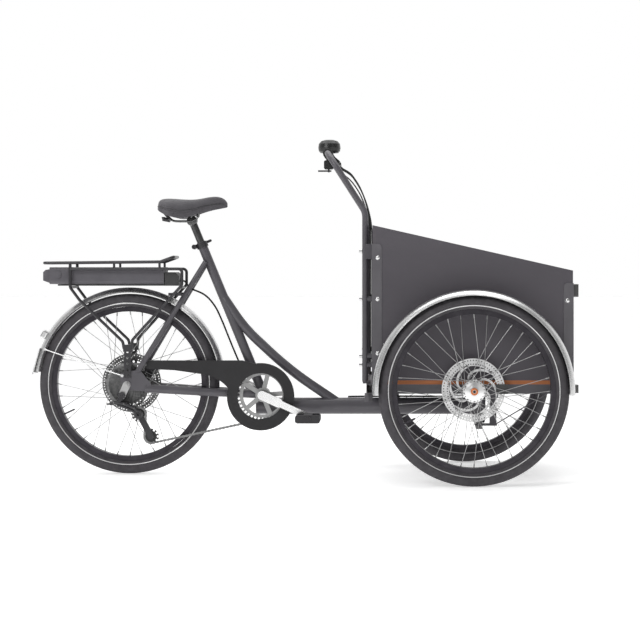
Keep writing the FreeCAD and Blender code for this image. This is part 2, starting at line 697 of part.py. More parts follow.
def build_seat(seat_low):
    down = (seat_low - SEAT_TOP).normalize()
    post_top = SEAT_TOP - down * 78
    post_low = SEAT_TOP + down * 150
    head = vec(post_top.x, 0, post_top.z)
    clamp = disc(head, 17, -22, 22)
    rails = []
    for side in (-1, 1):
        rails.append(tube([vec(118, side * 24, 884), vec(150, side * 22, 852),
                           vec(262, side * 22, 852), vec(300, side * 12, 884)], 7, radius=16))
    rail_space = rails[0].fuse(rails[1])
    post = merge(rod(post_top + down * 6, post_low, 2 * SEAT_POST_R), clamp)
    save("seat_post", post.cut(rail_space), *rails)

    side_view = [(99, 900), (99, 916), (107, 924), (132, 928), (168, 927), (198, 925), (228, 927),
                 (257, 933), (281, 936), (301, 935), (318, 926), (330, 908), (329, 898), (303, 893),
                 (274, 888), (246, 880), (222, 871), (204, 863), (186, 857), (165, 858), (132, 866),
                 (110, 875), (100, 887)]
    half_plan = [(97, 58), (103, 80), (124, 93), (160, 84), (200, 52), (240, 32), (290, 23),
                 (322, 18), (331, 8)]
    half_pocket = [(114, 50), (126, 72), (160, 64), (200, 38), (240, 26), (268, 20)]
    body = prism(side_view, -100, 100).common(plan_column(half_plan, 840, 960))
    body = body.cut(plan_column(half_pocket, 840, 880))
    save("saddle", body.cut(rail_space))

    # collar at the top of the seat tube, drawn up by the lever's skewer behind it
    collar = rod(SEAT_TOP + down * 20, SEAT_TOP + down * 2, SEAT_TUBE_D + 8)
    collar = collar.cut(rod(SEAT_TOP + down * 30, SEAT_TOP, SEAT_TUBE_D))
    ear_at = SEAT_TOP + down * 11 + vec(-26, 0, -6)
    ears = merge(disc(ear_at, 8, -16, -3), disc(ear_at, 8, 3, 16))
    ears = ears.cut(disc(ear_at, 3, -30, 30)).cut(rod(SEAT_TOP + down * 40, SEAT_TOP, SEAT_TUBE_D))
    slit = block(ear_at.x - 20, ear_at.x + 10, -3, 3, ear_at.z - 20, ear_at.z + 20)
    cam_r = 6.0
    skewer_end = CLAMP_PIVOT_Y - cam_r - 0.4
    skewer = merge(disc(ear_at, 3, -19, skewer_end), disc(ear_at, 7, 16, skewer_end))
    nut = ring(ear_at, 6.5, 3, -23, -16)
    save("seat_clamp", merge(collar, ears).cut(slit), skewer, nut)

    # the lever turns on a pin square to the skewer, and lies forward along the frame when shut
    forward = vec(52, 0, 22).normalize()
    pin_axis = vec(-forward.z, 0, forward.x)
    pivot = at_y(ear_at, CLAMP_PIVOT_Y)
    cam = Part.makeCylinder(cam_r, 14, pivot - pin_axis * 7, pin_axis)
    blade = link(pivot + forward * 2, pivot + forward * 56, 9, 4)
    save("seat_clamp_lever", merge(cam, blade))


def plan_column(half_plan, low, high):
    """A column over a plan outline that is given for the left half and mirrored."""
    plan = half_plan + [(x, -y) for x, y in reversed(half_plan)]
    points = [vec(x, y, low) for x, y in plan]
    return Part.Face(Part.makePolygon(points + points[:1])).extrude(vec(0, 0, high - low))


def build_rear_fender():
    stays = []
    for side in (-1, 1):
        edge = at_y(polar(REAR_AXLE, 304, 157.5), side * 31.5)
        foot = vec(-15, side * 77.5, 334)
        stays.append(rod(edge, foot, 4))
        stays.append(disc(foot, 5, *sorted((side * 73.5, side * 80))))
        stays.append(disc(polar(REAR_AXLE, 306, 157.5), 5, *sorted((side * 28.5, side * 32))))
    braces = [merge(*stays[0:3]), merge(*stays[3:6])]
    lengths = []
    for start in (14, 53.75, 93.5, 133.25):
        length = arc_shell(REAR_AXLE, 325, 29, 16, 1.5, start, start + 39.75, 0)
        lengths.append(length.cut(braces))
    lamp = block(-342, -322, -17, 17, -14, 14)
    lamp = lamp.makeFillet(5, lamp.Edges)
    lamp.rotate(vec(0, 0, 0), ALONG_Y, 30)
    lamp.translate(REAR_AXLE)
    lamp = lamp.cut(arc_shell(REAR_AXLE, 325.4, 29, 16, 30, 120, 180, 0))
    flap = prism([(-298, 424), (-301, 424), (-327, 336), (-322, 336)], -30, 30)
    flap = flap.cut(arc_shell(REAR_AXLE, 325.3, 31, 16, 14, 120, 175, 0))
    flap = max(flap.Solids, key=lambda solid: solid.Volume)
    save("rear_fender", *lengths, *braces, lamp, flap)


def build_rack():
    """Tube carrier that holds the battery between its rails, on perforated drop plates."""
    top = 711.0
    rail_z = 691.0
    y = RACK_HALF
    platform = [vec(111, -y, 715), vec(-278, -y, top), vec(-278, y, top), vec(111, y, 715),
                vec(155, y, 731), vec(155, -y, 731), vec(112, -y, 715.3)]
    bars = [tube(platform, RACK_D, radius=14)]
    for side in (-1, 1):
        rear_stay = [vec(-190, side * y, top), vec(-190, side * y, 629), vec(-158, side * y, 586),
                     vec(-14, side * y, 448), vec(-10, side * y, 424)]
        # each side rail turns down at its front end and becomes the front stay
        front_stay = [vec(-190, side * y, rail_z), vec(184, side * y, rail_z),
                      vec(184, side * y, 637), vec(148, side * y, 597), vec(18, side * y, 453),
                      vec(16, side * y, 424)]
        bars.append(tube(rear_stay, RACK_D, radius=20))
        bars.append(tube(front_stay, RACK_D, radius=12))
        for post in (-43, 109):
            bars.append(rod(vec(post, side * y, rail_z), vec(post, side * y, 714), 8))
        inner = sorted((side * (y - 5), side * (y + 7)))
        leg = block(-12, 20, inner[0], inner[1], 414, 438)
        outer = sorted((side * (y + 4), side * (y + 7)))
        drop = block(-9, 14, outer[0], outer[1], 327, 430)
        for hole in range(5):
            spot = vec(2.5, 0, 334 + 20 * hole)
            drop = drop.cut(disc(spot, 4, *outer))
        bars.append(merge(leg, drop))
        lug = sorted((side * 60, side * (y - 3)))
        bars.append(block(138, 182, lug[0], lug[1], 601, 611))
    for cross in (-190, -43):
        bars.append(rod(vec(cross, -y, 712), vec(cross, y, 712), 8))
    for cross_x, cross_z in ((-190, 629), (177, 629)):
        bars.append(rod(vec(cross_x, -y, cross_z), vec(cross_x, y, cross_z), 8))
    stay_space = []
    for side in (-1, 1):
        stay_space.append(rod(vec(258, side * 25, 714), vec(34, side * 69, 345), 18.2))
    bars = [bar.cut(stay_space) for bar in bars]
    for side in (-1, 1):
        inner = sorted((side * (DROPOUT_IN + DROPOUT_T), side * (y + 9)))
        bars.append(disc(vec(2.5, 0, 334), 3.4, *inner))
    save("rack", *fitted(*bars))


def build_battery():
    pack_low = 640.0
    shape = [(-262, pack_low), (122, pack_low), (122, 697), (-262, 697)]
    body = prism(shape, -58, 58)
    edges = [edge for edge in body.Edges if abs(edge.tangentAt(0).x) > 0.9]
    body = body.makeFillet(11, edges)
    cap = prism([(-284, 652), (-262, 644), (-262, 690), (-276, 688), (-284, 680)], -52, 52)
    lock = disc(vec(-234, 0, 672), 12, -61, -58)
    save("battery", merge(body, cap, lock))
    rails = []
    for side in (-1, 1):
        rails.append(block(-236, 124, *sorted((side * 26, side * 44)), 634.5, 639.7))
    housing = prism([(124.5, 634.5), (172, 634.5), (172, 668), (160, 680), (124.5, 680)], -56, 56)
    dock = merge(housing, *rails)
    save("battery_dock", dock)


def build_rear_caliper():
    """Two-piston caliper over the top of the disc, on a bracket from the left dropout."""
    heart = polar(REAR_AXLE, 92, 40)
    body = block(heart.x - 23, heart.x + 23, REAR_ROTOR_Y - 13, REAR_ROTOR_Y + 13,
                 heart.z - 17, heart.z + 17)
    body = body.makeFillet(5, [edge for edge in body.Edges if abs(edge.tangentAt(0).y) > 0.9])
    slot = disc(REAR_AXLE, ROTOR_R + 3, REAR_ROTOR_Y - 2, REAR_ROTOR_Y + 2)
    arm = prism([(30, 322), (58, 312), (84, 340), (84, 356), (50, 356)],
                REAR_ROTOR_Y + 12, DROPOUT_IN)
    stay = rod(vec(258, 25, 714), vec(34, 69, 345), 19)
    chain_stay = swept(path([vec(446, 19, 268), vec(352, 22, 273), vec(280, 42, 277),
                             vec(62, 66, 291)]), CHAIN_STAY_D + 1)
    whole = merge(body.cut(slot), arm).cut(stay).cut(chain_stay)
    save("rear_caliper", max(whole.Solids, key=lambda solid: solid.Volume))


# ================================================================ front frame
def build_front_frame():
    """Rails under the floor, an axle beam, and the yoke that carries the kingpin."""
    height = (RAIL_LOW, FLOOR_LOW)
    rails = []
    for side in (-1, 1):
        width = tuple(sorted((side * (BOX_HALF - RAIL_W), side * BOX_HALF)))
        rails.append(box_tube((BOX_REAR, BOX_FRONT), width, height, RAIL_WALL, "x"))
    beam_half = BOX_HALF - RAIL_W + RAIL_WALL
    for span in ((804, 834), (1132, 1162), (1216, 1240), (BOX_FRONT - 30, BOX_FRONT)):
        rails.append(box_tube(span, (-beam_half, beam_half), height, RAIL_WALL, "y"))
    rails.append(block(1120, 1244, -35, 35, YOKE_TOP - 6, YOKE_TOP))
    post = box_tube((1217, 1239), (-20, 20), (162, YOKE_TOP - 1), 3, "z")
    foot = block(1166, 1241, -20, 20, 162, 168)
    brace = rod(vec(1236, 0, 165), vec(1452, 0, 294), 4)
    pin = Part.makeCylinder(KINGPIN_R, 400, vec(KINGPIN_X, 0, 100))
    whole = merge(*rails, post, foot, brace).cut(pin)
    for side in (-1, 1):
        bore = disc(vec(WHEELBASE, 0, WHEEL_R), STUB_R, *sorted((side * 270, side * 330)))
        whole = whole.cut(bore)
    feet = []
    for side in (-1, 1):
        feet.append(Part.makeCylinder(13, 28, vec(811, side * 270, 261)))
    whole = max(whole.Solids, key=lambda solid: solid.Volume)
    whole = whole.cut(Part.makeCompound(feet))
    save("front_frame", whole, *feet)

    pin = Part.makeCylinder(KINGPIN_R, 318 - 158, vec(KINGPIN_X, 0, 158))
    lower_nut = Part.makeCylinder(12, 12, vec(KINGPIN_X, 0, 150))
    upper_nut = Part.makeCylinder(15, 10, vec(KINGPIN_X, 0, YOKE_TOP))
    save("kingpin", merge(pin, lower_nut, upper_nut))

    axles = []
    axis = vec(WHEELBASE, 0, WHEEL_R)
    for side in (-1, 1):
        shaft = disc(axis, STUB_R, *sorted((side * 272, side * (HUB_FACE + 3))))
        collar = ring(axis, 16, STUB_R, *sorted((side * BOX_HALF, side * (ROTOR_Y - 2))))
        cap = disc(axis, 12, *sorted((side * (HUB_FACE + 0.5), side * (HUB_FACE + 8.5))))
        socket = hexagon(axis, 8, *sorted((side * (HUB_FACE + 3), side * (HUB_FACE + 9))))
        axles.append(merge(shaft, collar, cap).cut(socket))
    save("front_axles", *axles)


def build_box():
    top_slope = [(BOX_REAR, FLOOR_HIGH), (BOX_FRONT, FLOOR_HIGH), (BOX_FRONT, FRONT_TOP),
                 (BOX_REAR, REAR_TOP)]
    inner_x0 = BOX_REAR + PANEL_T
    inner_x1 = BOX_FRONT - PANEL_T
    wedge = prism(top_slope, -BOX_HALF, BOX_HALF)
    sides = []
    for side in (-1, 1):
        y0, y1 = sorted((side * (BOX_HALF - PANEL_T), side * BOX_HALF))
        sides.append(wedge.common(block(inner_x0, inner_x1, y0, y1, 300, 900)))
    save("box_sides", *sides)
    rear = wedge.common(block(BOX_REAR, inner_x0, -BOX_HALF, BOX_HALF, 300, 900))
    front = wedge.common(block(inner_x1, BOX_FRONT, -BOX_HALF, BOX_HALF, 300, 900))
    save("box_ends", rear, front)

    plate = block(BOX_REAR, BOX_FRONT, -BOX_HALF, BOX_HALF, FLOOR_LOW, FLOOR_HIGH)
    raised = block(inner_x0, inner_x1, -BOX_HALF + PANEL_T, BOX_HALF - PANEL_T,
                   FLOOR_HIGH, FLOOR_HIGH + FLOOR_RAISE)
    save("box_floor", merge(plate, raised))

    angles = []
    for side in (-1, 1):
        for x, inward, high in ((BOX_REAR, 1, 772), (BOX_FRONT, -1, 646)):
            face = x - inward * ANGLE_T
            on_side = block(*sorted((face, x + inward * ANGLE_LEG)),
                            *sorted((side * BOX_HALF, side * (BOX_HALF + ANGLE_T))),
                            ANGLE_LOW, high)
            round_at = [edge for edge in on_side.Edges
                        if abs(edge.tangentAt(0).y) > 0.9
                        and edge.CenterOfMass.z > high - 1
                        and abs(edge.CenterOfMass.x - (x + inward * ANGLE_LEG)) < 1]
            on_side = on_side.makeFillet(14, round_at)
            on_end = block(*sorted((face, x)),
                           *sorted((side * (BOX_HALF - ANGLE_LEG), side * BOX_HALF)),
                           ANGLE_LOW, high)
            rail_space = block(800, 835, -297, 297, 280, FLOOR_LOW)
            angles.append(merge(on_side, on_end).cut(rail_space))
    save("corner_angles", *angles)


def build_push_bar():
    half = BAR_HALF
    bend = 877.0
    line = [vec(BAR_X, -half, 326), vec(BAR_X, -half, bend), vec(BAR_TOP.x, -half, BAR_TOP.z),
            vec(BAR_TOP.x, half, BAR_TOP.z), vec(BAR_X, half, bend), vec(BAR_X, half, 326)]
    bar = tube(line, BAR_D, 2, radius=70)
    lugs = []
    for side in (-1, 1):
        lugs.append(block(BAR_X, BOX_REAR, *sorted((side * 255, side * 283)), 724, 772))
        for z in (594, 409, 380):
            lugs.append(rod(vec(BAR_X, side * half, z), vec(BOX_REAR, side * half, z), 16))
        lugs.append(block(BAR_X - 8, BAR_X + 18, *sorted((side * 257, side * 273)), FLOOR_LOW, 330))
    solid_bar = swept(path(line, 70), BAR_D - 0.5)
    lugs = [lug.cut(solid_bar) for lug in lugs]
    save("push_bar", merge(bar, *lugs))

    bolts = []
    for side in (-1, 1):
        for z in (748, 594, 409, 380):
            start = vec(BAR_X - 10, side * half, z)
            bolts.append(rod(start, start - vec(10, 0, 0), 11))
        for x, high in ((BOX_REAR + 17, 727), (BOX_REAR + 17, 594), (BOX_FRONT - 18, 589),
                        (BOX_REAR + 17, 420), (BOX_FRONT - 18, 400)):
            y = side * (BOX_HALF + ANGLE_T)
            dome = Part.makeSphere(9, vec(x, y - side * 5.2, high))
            cutter = block(x - 12, x + 12, *sorted((y - side * 40, y)), high - 12, high + 12)
            bolts.append(dome.cut(cutter))
    save("fasteners", *bolts)


def build_controls():
    bar_y = BAR_HALF - 70
    grips = []
    for side in (-1, 1):
        grip = ring(BAR_TOP, 16, BAR_D / 2, *sorted((side * (bar_y - 118), side * bar_y)))
        edges = [edge for edge in grip.Edges if edge.BoundBox.XLength > 31]
        grips.append(grip.makeFillet(3, edges))
    save("grips", *grips)

    clamp_r = BAR_D / 2
    to_bar = at_y(BAR_TOP - LEVER_PIVOT, 0)
    parts = []
    for side in (-1, 1):
        y0, y1 = sorted((side * 56, side * 74))
        collar = ring(BAR_TOP, clamp_r + 5, clamp_r, y0, y1)
        arm = link(at_y(LEVER_PIVOT + to_bar * 0.6, side * 65), at_y(LEVER_PIVOT, side * 65), 20, 16)
        fork = lever_frame(block(-12, 16, side * 65 - 12, side * 65 + 12, -4.0, 4.0))
        pin_hole = lever_frame(Part.makeCylinder(3 + RUNNING, 30, vec(0, side * 65, -15)))
        perch = merge(collar, arm).cut(fork).cut(pin_hole).cut(disc(BAR_TOP, clamp_r, -99, 99))
        parts.append(perch)
    pod_y0 = -44.0
    pod_y1 = -14.0
    pod = block(658, 690, pod_y0, pod_y1, 1026, 1056)
    pod = pod.makeFillet(6, [edge for edge in pod.Edges if abs(edge.tangentAt(0).y) > 0.9])
    pod_clamp = disc(BAR_TOP, clamp_r + 5, pod_y0 + 6, pod_y1 - 6)
    neck = block(666, 684, pod_y0 + 6, pod_y1 - 6, 1050, 1066)
    pod = merge(pod, pod_clamp, neck).cut(disc(BAR_TOP, clamp_r, -99, 99))
    pod = pod.cut(rod(vec(674, -29, 1020), vec(674, -29, 1040), 2 * (3 + RUNNING)))
    bell = spun_up([(0, 1085), (30, 1085), (36, 1091), (38, 1102), (36, 1116), (28, 1125),
                    (16, 1129), (0, 1130)], vec(BAR_TOP.x - 2, 30, 0))
    bell_foot = disc(BAR_TOP, clamp_r + 4.9, 22, 38).cut(disc(BAR_TOP, clamp_r, 0, 99))
    save("handlebar_controls", *parts, pod, merge(bell, bell_foot))

    y = -65
    eye = Part.makeCylinder(7, 7.4, vec(0, y, -3.7))
    pin = Part.makeCylinder(3, 20, vec(0, y, -10))
    blade = tube([vec(0, y, 0), vec(-14, y - 30, 0), vec(-14, y - 118, 0)], 7.4)
    tip = Part.makeSphere(5.5, vec(-14, y - 118, 0))
    lever = lever_frame(merge(eye, pin, blade, tip))
    save("brake_lever_right", lever)
    save("brake_lever_left", mirrored(lever))
    thumb = merge(rod(vec(674, -29, 1016), vec(674, -29, 1040), 6),
                  Part.makeCylinder(9, 5, vec(674, -29, 1018)),
                  block(638, 674, -34, -24, 1018, 1023))
    save("shifter", thumb)


def lever_frame(shape):
    """Place a shape drawn with x towards the bar and z along the brake lever's pin."""
    to_bar = BAR_TOP - LEVER_PIVOT
    tilt = math.degrees(math.atan2(-to_bar.z, to_bar.x))
    placed = shape.copy()
    placed.rotate(vec(0, 0, 0), ALONG_Y, tilt)
    placed.translate(LEVER_PIVOT)
    return placed


def spun_up(profile, centre):
    """A solid of revolution about Z from (radius, z) points."""
    points = [vec(centre.x + radius, centre.y, z) for radius, z in profile]
    face = Part.Face(Part.makePolygon(points + points[:1]))
    return face.revolve(centre, UP, 360)


def build_front_fenders():
    solids = []
    for side in (-1, 1):
        axis = vec(WHEELBASE, side * TRACK_HALF, WHEEL_R)
        shell = arc_shell(axis, FENDER_R, 31, 17, 1.5, -2.5, 182.5, side * TRACK_HALF)
        for start in (-2.5, 43.75, 90.0, 136.25):
            solids.append(arc_shell(axis, FENDER_R, 31, 17, 1.5, start, start + 46.25,
                                    side * TRACK_HALF))
        for angle in (28, 90, 152):
            tip = polar(axis, FENDER_R - 8, angle)
            tab = block(tip.x - 11, tip.x + 11, *sorted((side * BOX_HALF, side * (TRACK_HALF - 20))),
                        tip.z - 1.5, tip.z + 1.5)
            inside = disc(axis, FENDER_R - 18.6, *sorted((side * 340, side * 440)))
            envelope = arc_shell(axis, FENDER_R + 20, 31, 0.01, 40, -10, 190, side * TRACK_HALF)
            solids.append(tab.cut(inside).cut(shell).cut(envelope))
    save("front_fenders", *[max(shape.Solids, key=lambda solid: solid.Volume) for shape in solids])


def build_front_calipers():
    solids = []
    for side in (-1, 1):
        axis = vec(WHEELBASE, 0, WHEEL_R)
        heart = polar(axis, 92, 2)
        y = side * ROTOR_Y
        body = block(heart.x - 20, heart.x + 20, y - 12, y + 12, heart.z - 15, heart.z + 15)
        body = body.makeFillet(5, [e for e in body.Edges if abs(e.tangentAt(0).y) > 0.9])
        body = body.cut(disc(axis, ROTOR_R + 3, y - 2, y + 2))
        arm = block(heart.x - 12, heart.x + 14, *sorted((side * BOX_HALF, side * (ROTOR_Y - 10))),
                    heart.z - 8, 314)
        arm = arm.cut(disc(axis, 26, *sorted((side * 300, side * 349))))
        solids.append(merge(body, arm))
    save("front_calipers", *solids)


def build_lamps():
    solids = []
    for side in (-1, 1):
        for low, high in ((600.6, 642.5), (291, 318)):
            lens = block(BOX_FRONT + ANGLE_T, LENGTH_FRONT, *sorted((side * 262, side * 312)),
                         low, high)
            solids.append(lens.makeFillet(4, [e for e in lens.Edges if abs(e.tangentAt(0).x) > 0.9]))
    save("front_lamps", *solids)


# ================================================================ cables
def build_cables():
    """Brake and gear cables, clipped along the bar and the main tube."""
    lead_y = 246.0
    front = []
    for side in (-1, 1):
        front.append(tube([vec(712, side * 52, 1032), vec(748, side * 70, 1012),
                           vec(778, side * 130, 968), vec(800, side * 200, 915),
                           vec(815, side * 240, 850), vec(817, side * lead_y, 780),
                           vec(816, side * lead_y, 620), vec(816.5, side * lead_y, 470),
                           vec(816, side * lead_y, 350)], 5))
    front.append(tube([vec(680, -48, 1040), vec(706, -84, 1018), vec(752, -150, 985),
                       vec(790, -205, 925), vec(813, -232, 845), vec(816.5, -238, 770),
                       vec(816, -238, 620), vec(816.5, -238, 470), vec(816, -238, 350)], 4.5))
    save("front_cables", *front)

    top = MAIN_TUBE_Z + MAIN_TUBE_D / 2
    power = [vec(172.3, -14, 652), vec(187, -14.5, 651), vec(205, -21, 626), vec(259, -30, 605),
             vec(292, -27, 566), vec(315, -24, 515), vec(348, -22.5, 431), vec(385, -22.5, 345)]
    save("rear_cables", tube(power, 6),
         tube([vec(738, 0, top + 3.4), vec(880, 4, top + 4.6), vec(1100, 0, top + 3.4)], 6))


def main():
    os.makedirs("parts", exist_ok=True)
    build_wheels()
    build_rear_axle()
    build_chain()
    build_crankset()
    build_cassette()
    build_derailleur()
    build_chain_guard()
    build_frame()
    build_rear_fender()
    build_rack()
    build_battery()
    build_rear_caliper()
    build_front_frame()
    build_box()
    build_push_bar()
    build_controls()
    build_front_fenders()
    build_front_calipers()
    build_lamps()
    build_cables()
    print(f"whole: x {EXTENT.XMin:.1f} {EXTENT.XMax:.1f}  y {EXTENT.YMin:.1f} {EXTENT.YMax:.1f}"
          f"  z {EXTENT.ZMin:.1f} {EXTENT.ZMax:.1f}")


main()
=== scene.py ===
"""Looks of the electric cargo trike: materials for its CAD nodes, and finer pieces that replace some.

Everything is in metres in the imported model's own frame: +X forwards, +Y to the rider's left,
+Z up, with the origin on the ground under the middle.
"""
import json
import math

import bmesh
import bpy
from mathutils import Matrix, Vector


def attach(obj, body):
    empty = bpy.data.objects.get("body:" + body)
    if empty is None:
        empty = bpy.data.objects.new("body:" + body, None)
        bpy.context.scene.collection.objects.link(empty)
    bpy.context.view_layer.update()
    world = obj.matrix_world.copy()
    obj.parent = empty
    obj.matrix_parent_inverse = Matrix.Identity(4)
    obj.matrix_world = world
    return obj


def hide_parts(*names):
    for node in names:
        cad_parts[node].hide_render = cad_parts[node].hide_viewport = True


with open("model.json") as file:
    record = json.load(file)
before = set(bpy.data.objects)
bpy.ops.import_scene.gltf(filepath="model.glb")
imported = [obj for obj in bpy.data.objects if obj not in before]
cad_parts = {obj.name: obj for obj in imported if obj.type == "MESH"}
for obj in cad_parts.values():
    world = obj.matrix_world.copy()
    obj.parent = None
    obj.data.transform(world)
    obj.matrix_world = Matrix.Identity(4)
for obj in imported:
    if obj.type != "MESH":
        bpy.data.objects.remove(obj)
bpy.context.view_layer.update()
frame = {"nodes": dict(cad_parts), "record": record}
NODES = frame["nodes"]

MM = 0.001
ALONG_X = Vector((1, 0, 0))
UP = Vector((0, 0, 1))
WAVE_UNIT = 0.3142            # a wave texture of scale 1 repeats after this many metres

# the wheels' centres and the crank's as (x, z) in millimetres
FRONT_AXLE = (567.0, 303.5)
REAR_AXLE = (-580.0, 303.5)
BRACKET = (-128.0, 268.0)


# ================================================================ colours and materials
def grey(value, warm=0.0):
    """A near-neutral colour from an sRGB level of 0 to 255, tinted towards violet or brown."""
    level = (value / 255) ** 2.2
    return (level * (1 + warm * 0.4), level * (1 - abs(warm) * 0.3), level * (1 - warm * 0.6), 1)


def srgb(red, green, blue):
    """A colour from three sRGB levels of 0 to 255."""
    return tuple((channel / 255) ** 2.2 for channel in (red, green, blue)) + (1,)


class Surface:
    """One Principled material, built up from textures laid out in metres on the object."""

    def __init__(self, name, metallic=0.0, coat=0.0, coat_rough=0.2, specular=0.5, sheen=0.0):
        self.material = bpy.data.materials.new(name)
        self.material.use_nodes = True
        self.tree = self.material.node_tree
        self.shader = self.tree.nodes["Principled BSDF"]
        self.shader.inputs["Metallic"].default_value = metallic
        self.shader.inputs["Coat Weight"].default_value = coat
        self.shader.inputs["Coat Roughness"].default_value = coat_rough
        self.shader.inputs["Specular IOR Level"].default_value = specular
        self.shader.inputs["Sheen Weight"].default_value = sheen
        self.place = self.add("ShaderNodeTexCoord").outputs["Object"]
        self.normal = None
        self.base = None

    def add(self, kind, **settings):
        """Adds a shader node and sets its own properties."""
        node = self.tree.nodes.new(kind)
        for key, value in settings.items():
            setattr(node, key, value)
        return node

    def join(self, source, target):
        self.tree.links.new(source, target)

    def stretched(self, factors):
        """The texture space with each axis scaled."""
        mapping = self.add("ShaderNodeMapping")
        mapping.inputs["Scale"].default_value = factors
        self.join(self.place, mapping.inputs["Vector"])
        return mapping.outputs["Vector"]

    def noise(self, size, detail=4.0, place=None):
        """Cloudy noise whose blobs are about size metres across."""
        node = self.add("ShaderNodeTexNoise")
        node.inputs["Scale"].default_value = 1 / size
        node.inputs["Detail"].default_value = detail
        node.inputs["Roughness"].default_value = 0.55
        self.join(place or self.place, node.inputs["Vector"])
        return node.outputs["Fac"]

    def cells(self, size):
        """Pebbles about size metres across, low in the middle of each."""
        node = self.add("ShaderNodeTexVoronoi")
        node.inputs["Scale"].default_value = 1 / size
        self.join(self.place, node.inputs["Vector"])
        return node.outputs["Distance"]

    def bands(self, axis, spacing):
        """Soft parallel bands that follow one another along an axis, spacing metres apart."""
        node = self.add("ShaderNodeTexWave", bands_direction=axis, wave_type="BANDS")
        node.inputs["Scale"].default_value = WAVE_UNIT / spacing
        self.join(self.place, node.inputs["Vector"])
        return node

    def ramp(self, source, *stops):
        """A colour ramp from (position, colour) stops."""
        node = self.add("ShaderNodeValToRGB")
        while len(node.color_ramp.elements) < len(stops):
            node.color_ramp.elements.new(0.5)
        for element, (position, colour) in zip(node.color_ramp.elements, stops):
            element.position = position
            element.color = colour
        self.join(source, node.inputs["Fac"])
        return node.outputs["Color"]

    def remap(self, source, low, high, from_low=0.3, from_high=0.7):
        """Stretches a value's middle range to low..high."""
        node = self.add("ShaderNodeMapRange")
        node.inputs["From Min"].default_value = from_low
        node.inputs["From Max"].default_value = from_high
        node.inputs["To Min"].default_value = low
        node.inputs["To Max"].default_value = high
        self.join(source, node.inputs["Value"])
        return node.outputs["Result"]

    def mix(self, factor, first, second):
        """Blends two colours, each a plain colour or a socket."""
        node = self.add("ShaderNodeMix", data_type="RGBA")
        self.join(factor, node.inputs["Factor"])
        for socket, value in ((node.inputs[6], first), (node.inputs[7], second)):
            if isinstance(value, tuple):
                socket.default_value = value
            else:
                self.join(value, socket)
        return node.outputs[2]

    def colour(self, source):
        self.base = source
        self.join(source, self.shader.inputs["Base Color"])
        return self

    def rough(self, source):
        self.join(source, self.shader.inputs["Roughness"])
        return self

    def bump(self, source, height, strength):
        """Adds relief of a height in metres on top of any relief before it."""
        node = self.add("ShaderNodeBump")
        node.inputs["Distance"].default_value = height
        node.inputs["Strength"].default_value = strength
        self.join(source, node.inputs["Height"])
        if self.normal is not None:
            self.join(self.normal, node.inputs["Normal"])
        self.normal = node.outputs["Normal"]
        self.join(self.normal, self.shader.inputs["Normal"])
        return self

    def edge_highlight_paint(self, radius, colour, amount):
        """Painted highlight on edges: where a rounded normal leaves the true one, the colour gives way in
        patches to a paler one.
        """
        soft = self.add("ShaderNodeBevel", samples=4)
        soft.inputs["Radius"].default_value = radius
        true = self.add("ShaderNodeNewGeometry")
        dot = self.add("ShaderNodeVectorMath", operation="DOT_PRODUCT")
        self.join(soft.outputs["Normal"], dot.inputs[0])
        self.join(true.outputs["Normal"], dot.inputs[1])
        # painted highlight: the edge mask sets how much paler colour replaces the base
        edge = self.remap(dot.outputs["Value"], amount, 0.0, 0.86, 0.99)
        highlight_patches = self.add("ShaderNodeMath", operation="MULTIPLY")
        self.join(edge, highlight_patches.inputs[0])
        self.join(self.remap(self.noise(0.012), 0.0, 1.0, 0.4, 0.6), highlight_patches.inputs[1])
        return self.colour(self.mix(highlight_patches.outputs[0], self.base, colour))


def powder_coat(name, dark, light, rough=(0.36, 0.46)):
    """Satin paint with a faint orange-peel skin."""
    skin = Surface(name, coat=0.15, coat_rough=0.35)
    skin.colour(skin.ramp(skin.noise(0.09), (0.3, dark), (0.7, light)))
    skin.rough(skin.remap(skin.noise(0.02), *rough))
    skin.bump(skin.noise(0.0016, 2.0), 0.00010, 0.5)
    # painted highlight: a paler grey along the edges of every powder-coated part
    return skin.edge_highlight_paint(0.0012, grey(150), 0.35)


def moulded(name, dark, light, rough=(0.42, 0.55)):
    """Injection-moulded resin with a spark-eroded grain."""
    skin = Surface(name)
    skin.colour(skin.ramp(skin.noise(0.05), (0.3, dark), (0.7, light)))
    skin.rough(skin.remap(skin.noise(0.008), *rough))
    skin.bump(skin.cells(0.0007), 0.00008, 0.6)
    return skin


def metal(name, dark, light, rough=(0.2, 0.32), stretch=(1, 1, 1)):
    """Bare metal whose fine scratches run along the axis with the smallest stretch."""
    skin = Surface(name, metallic=1.0)
    place = skin.stretched(stretch)
    skin.colour(skin.ramp(skin.noise(0.03), (0.25, dark), (0.75, light)))
    skin.rough(skin.remap(skin.noise(0.0024, 5.0, place), *rough))
    skin.bump(skin.noise(0.0006, 3.0, place), 0.00002, 0.5)
    return skin


def film_ply():
    """Phenolic film pressed on plywood: a faint wire-mesh grain and long soft streaks."""
    skin = Surface("film_faced_ply", specular=0.35)
    streaks = skin.noise(0.25, 5.0, skin.stretched((0.25, 1, 1)))
    skin.colour(skin.ramp(streaks, (0.3, srgb(77, 74, 79)), (0.7, srgb(85, 82, 87))))
    skin.rough(skin.remap(skin.noise(0.06), 0.5, 0.62))
    skin.bump(skin.cells(0.0022), 0.00012, 0.4)
    skin.bump(streaks, 0.0004, 0.2)
    # painted highlight: a paler grey along the panels' edges
    return skin.edge_highlight_paint(0.0015, grey(110, 0.3), 0.5)


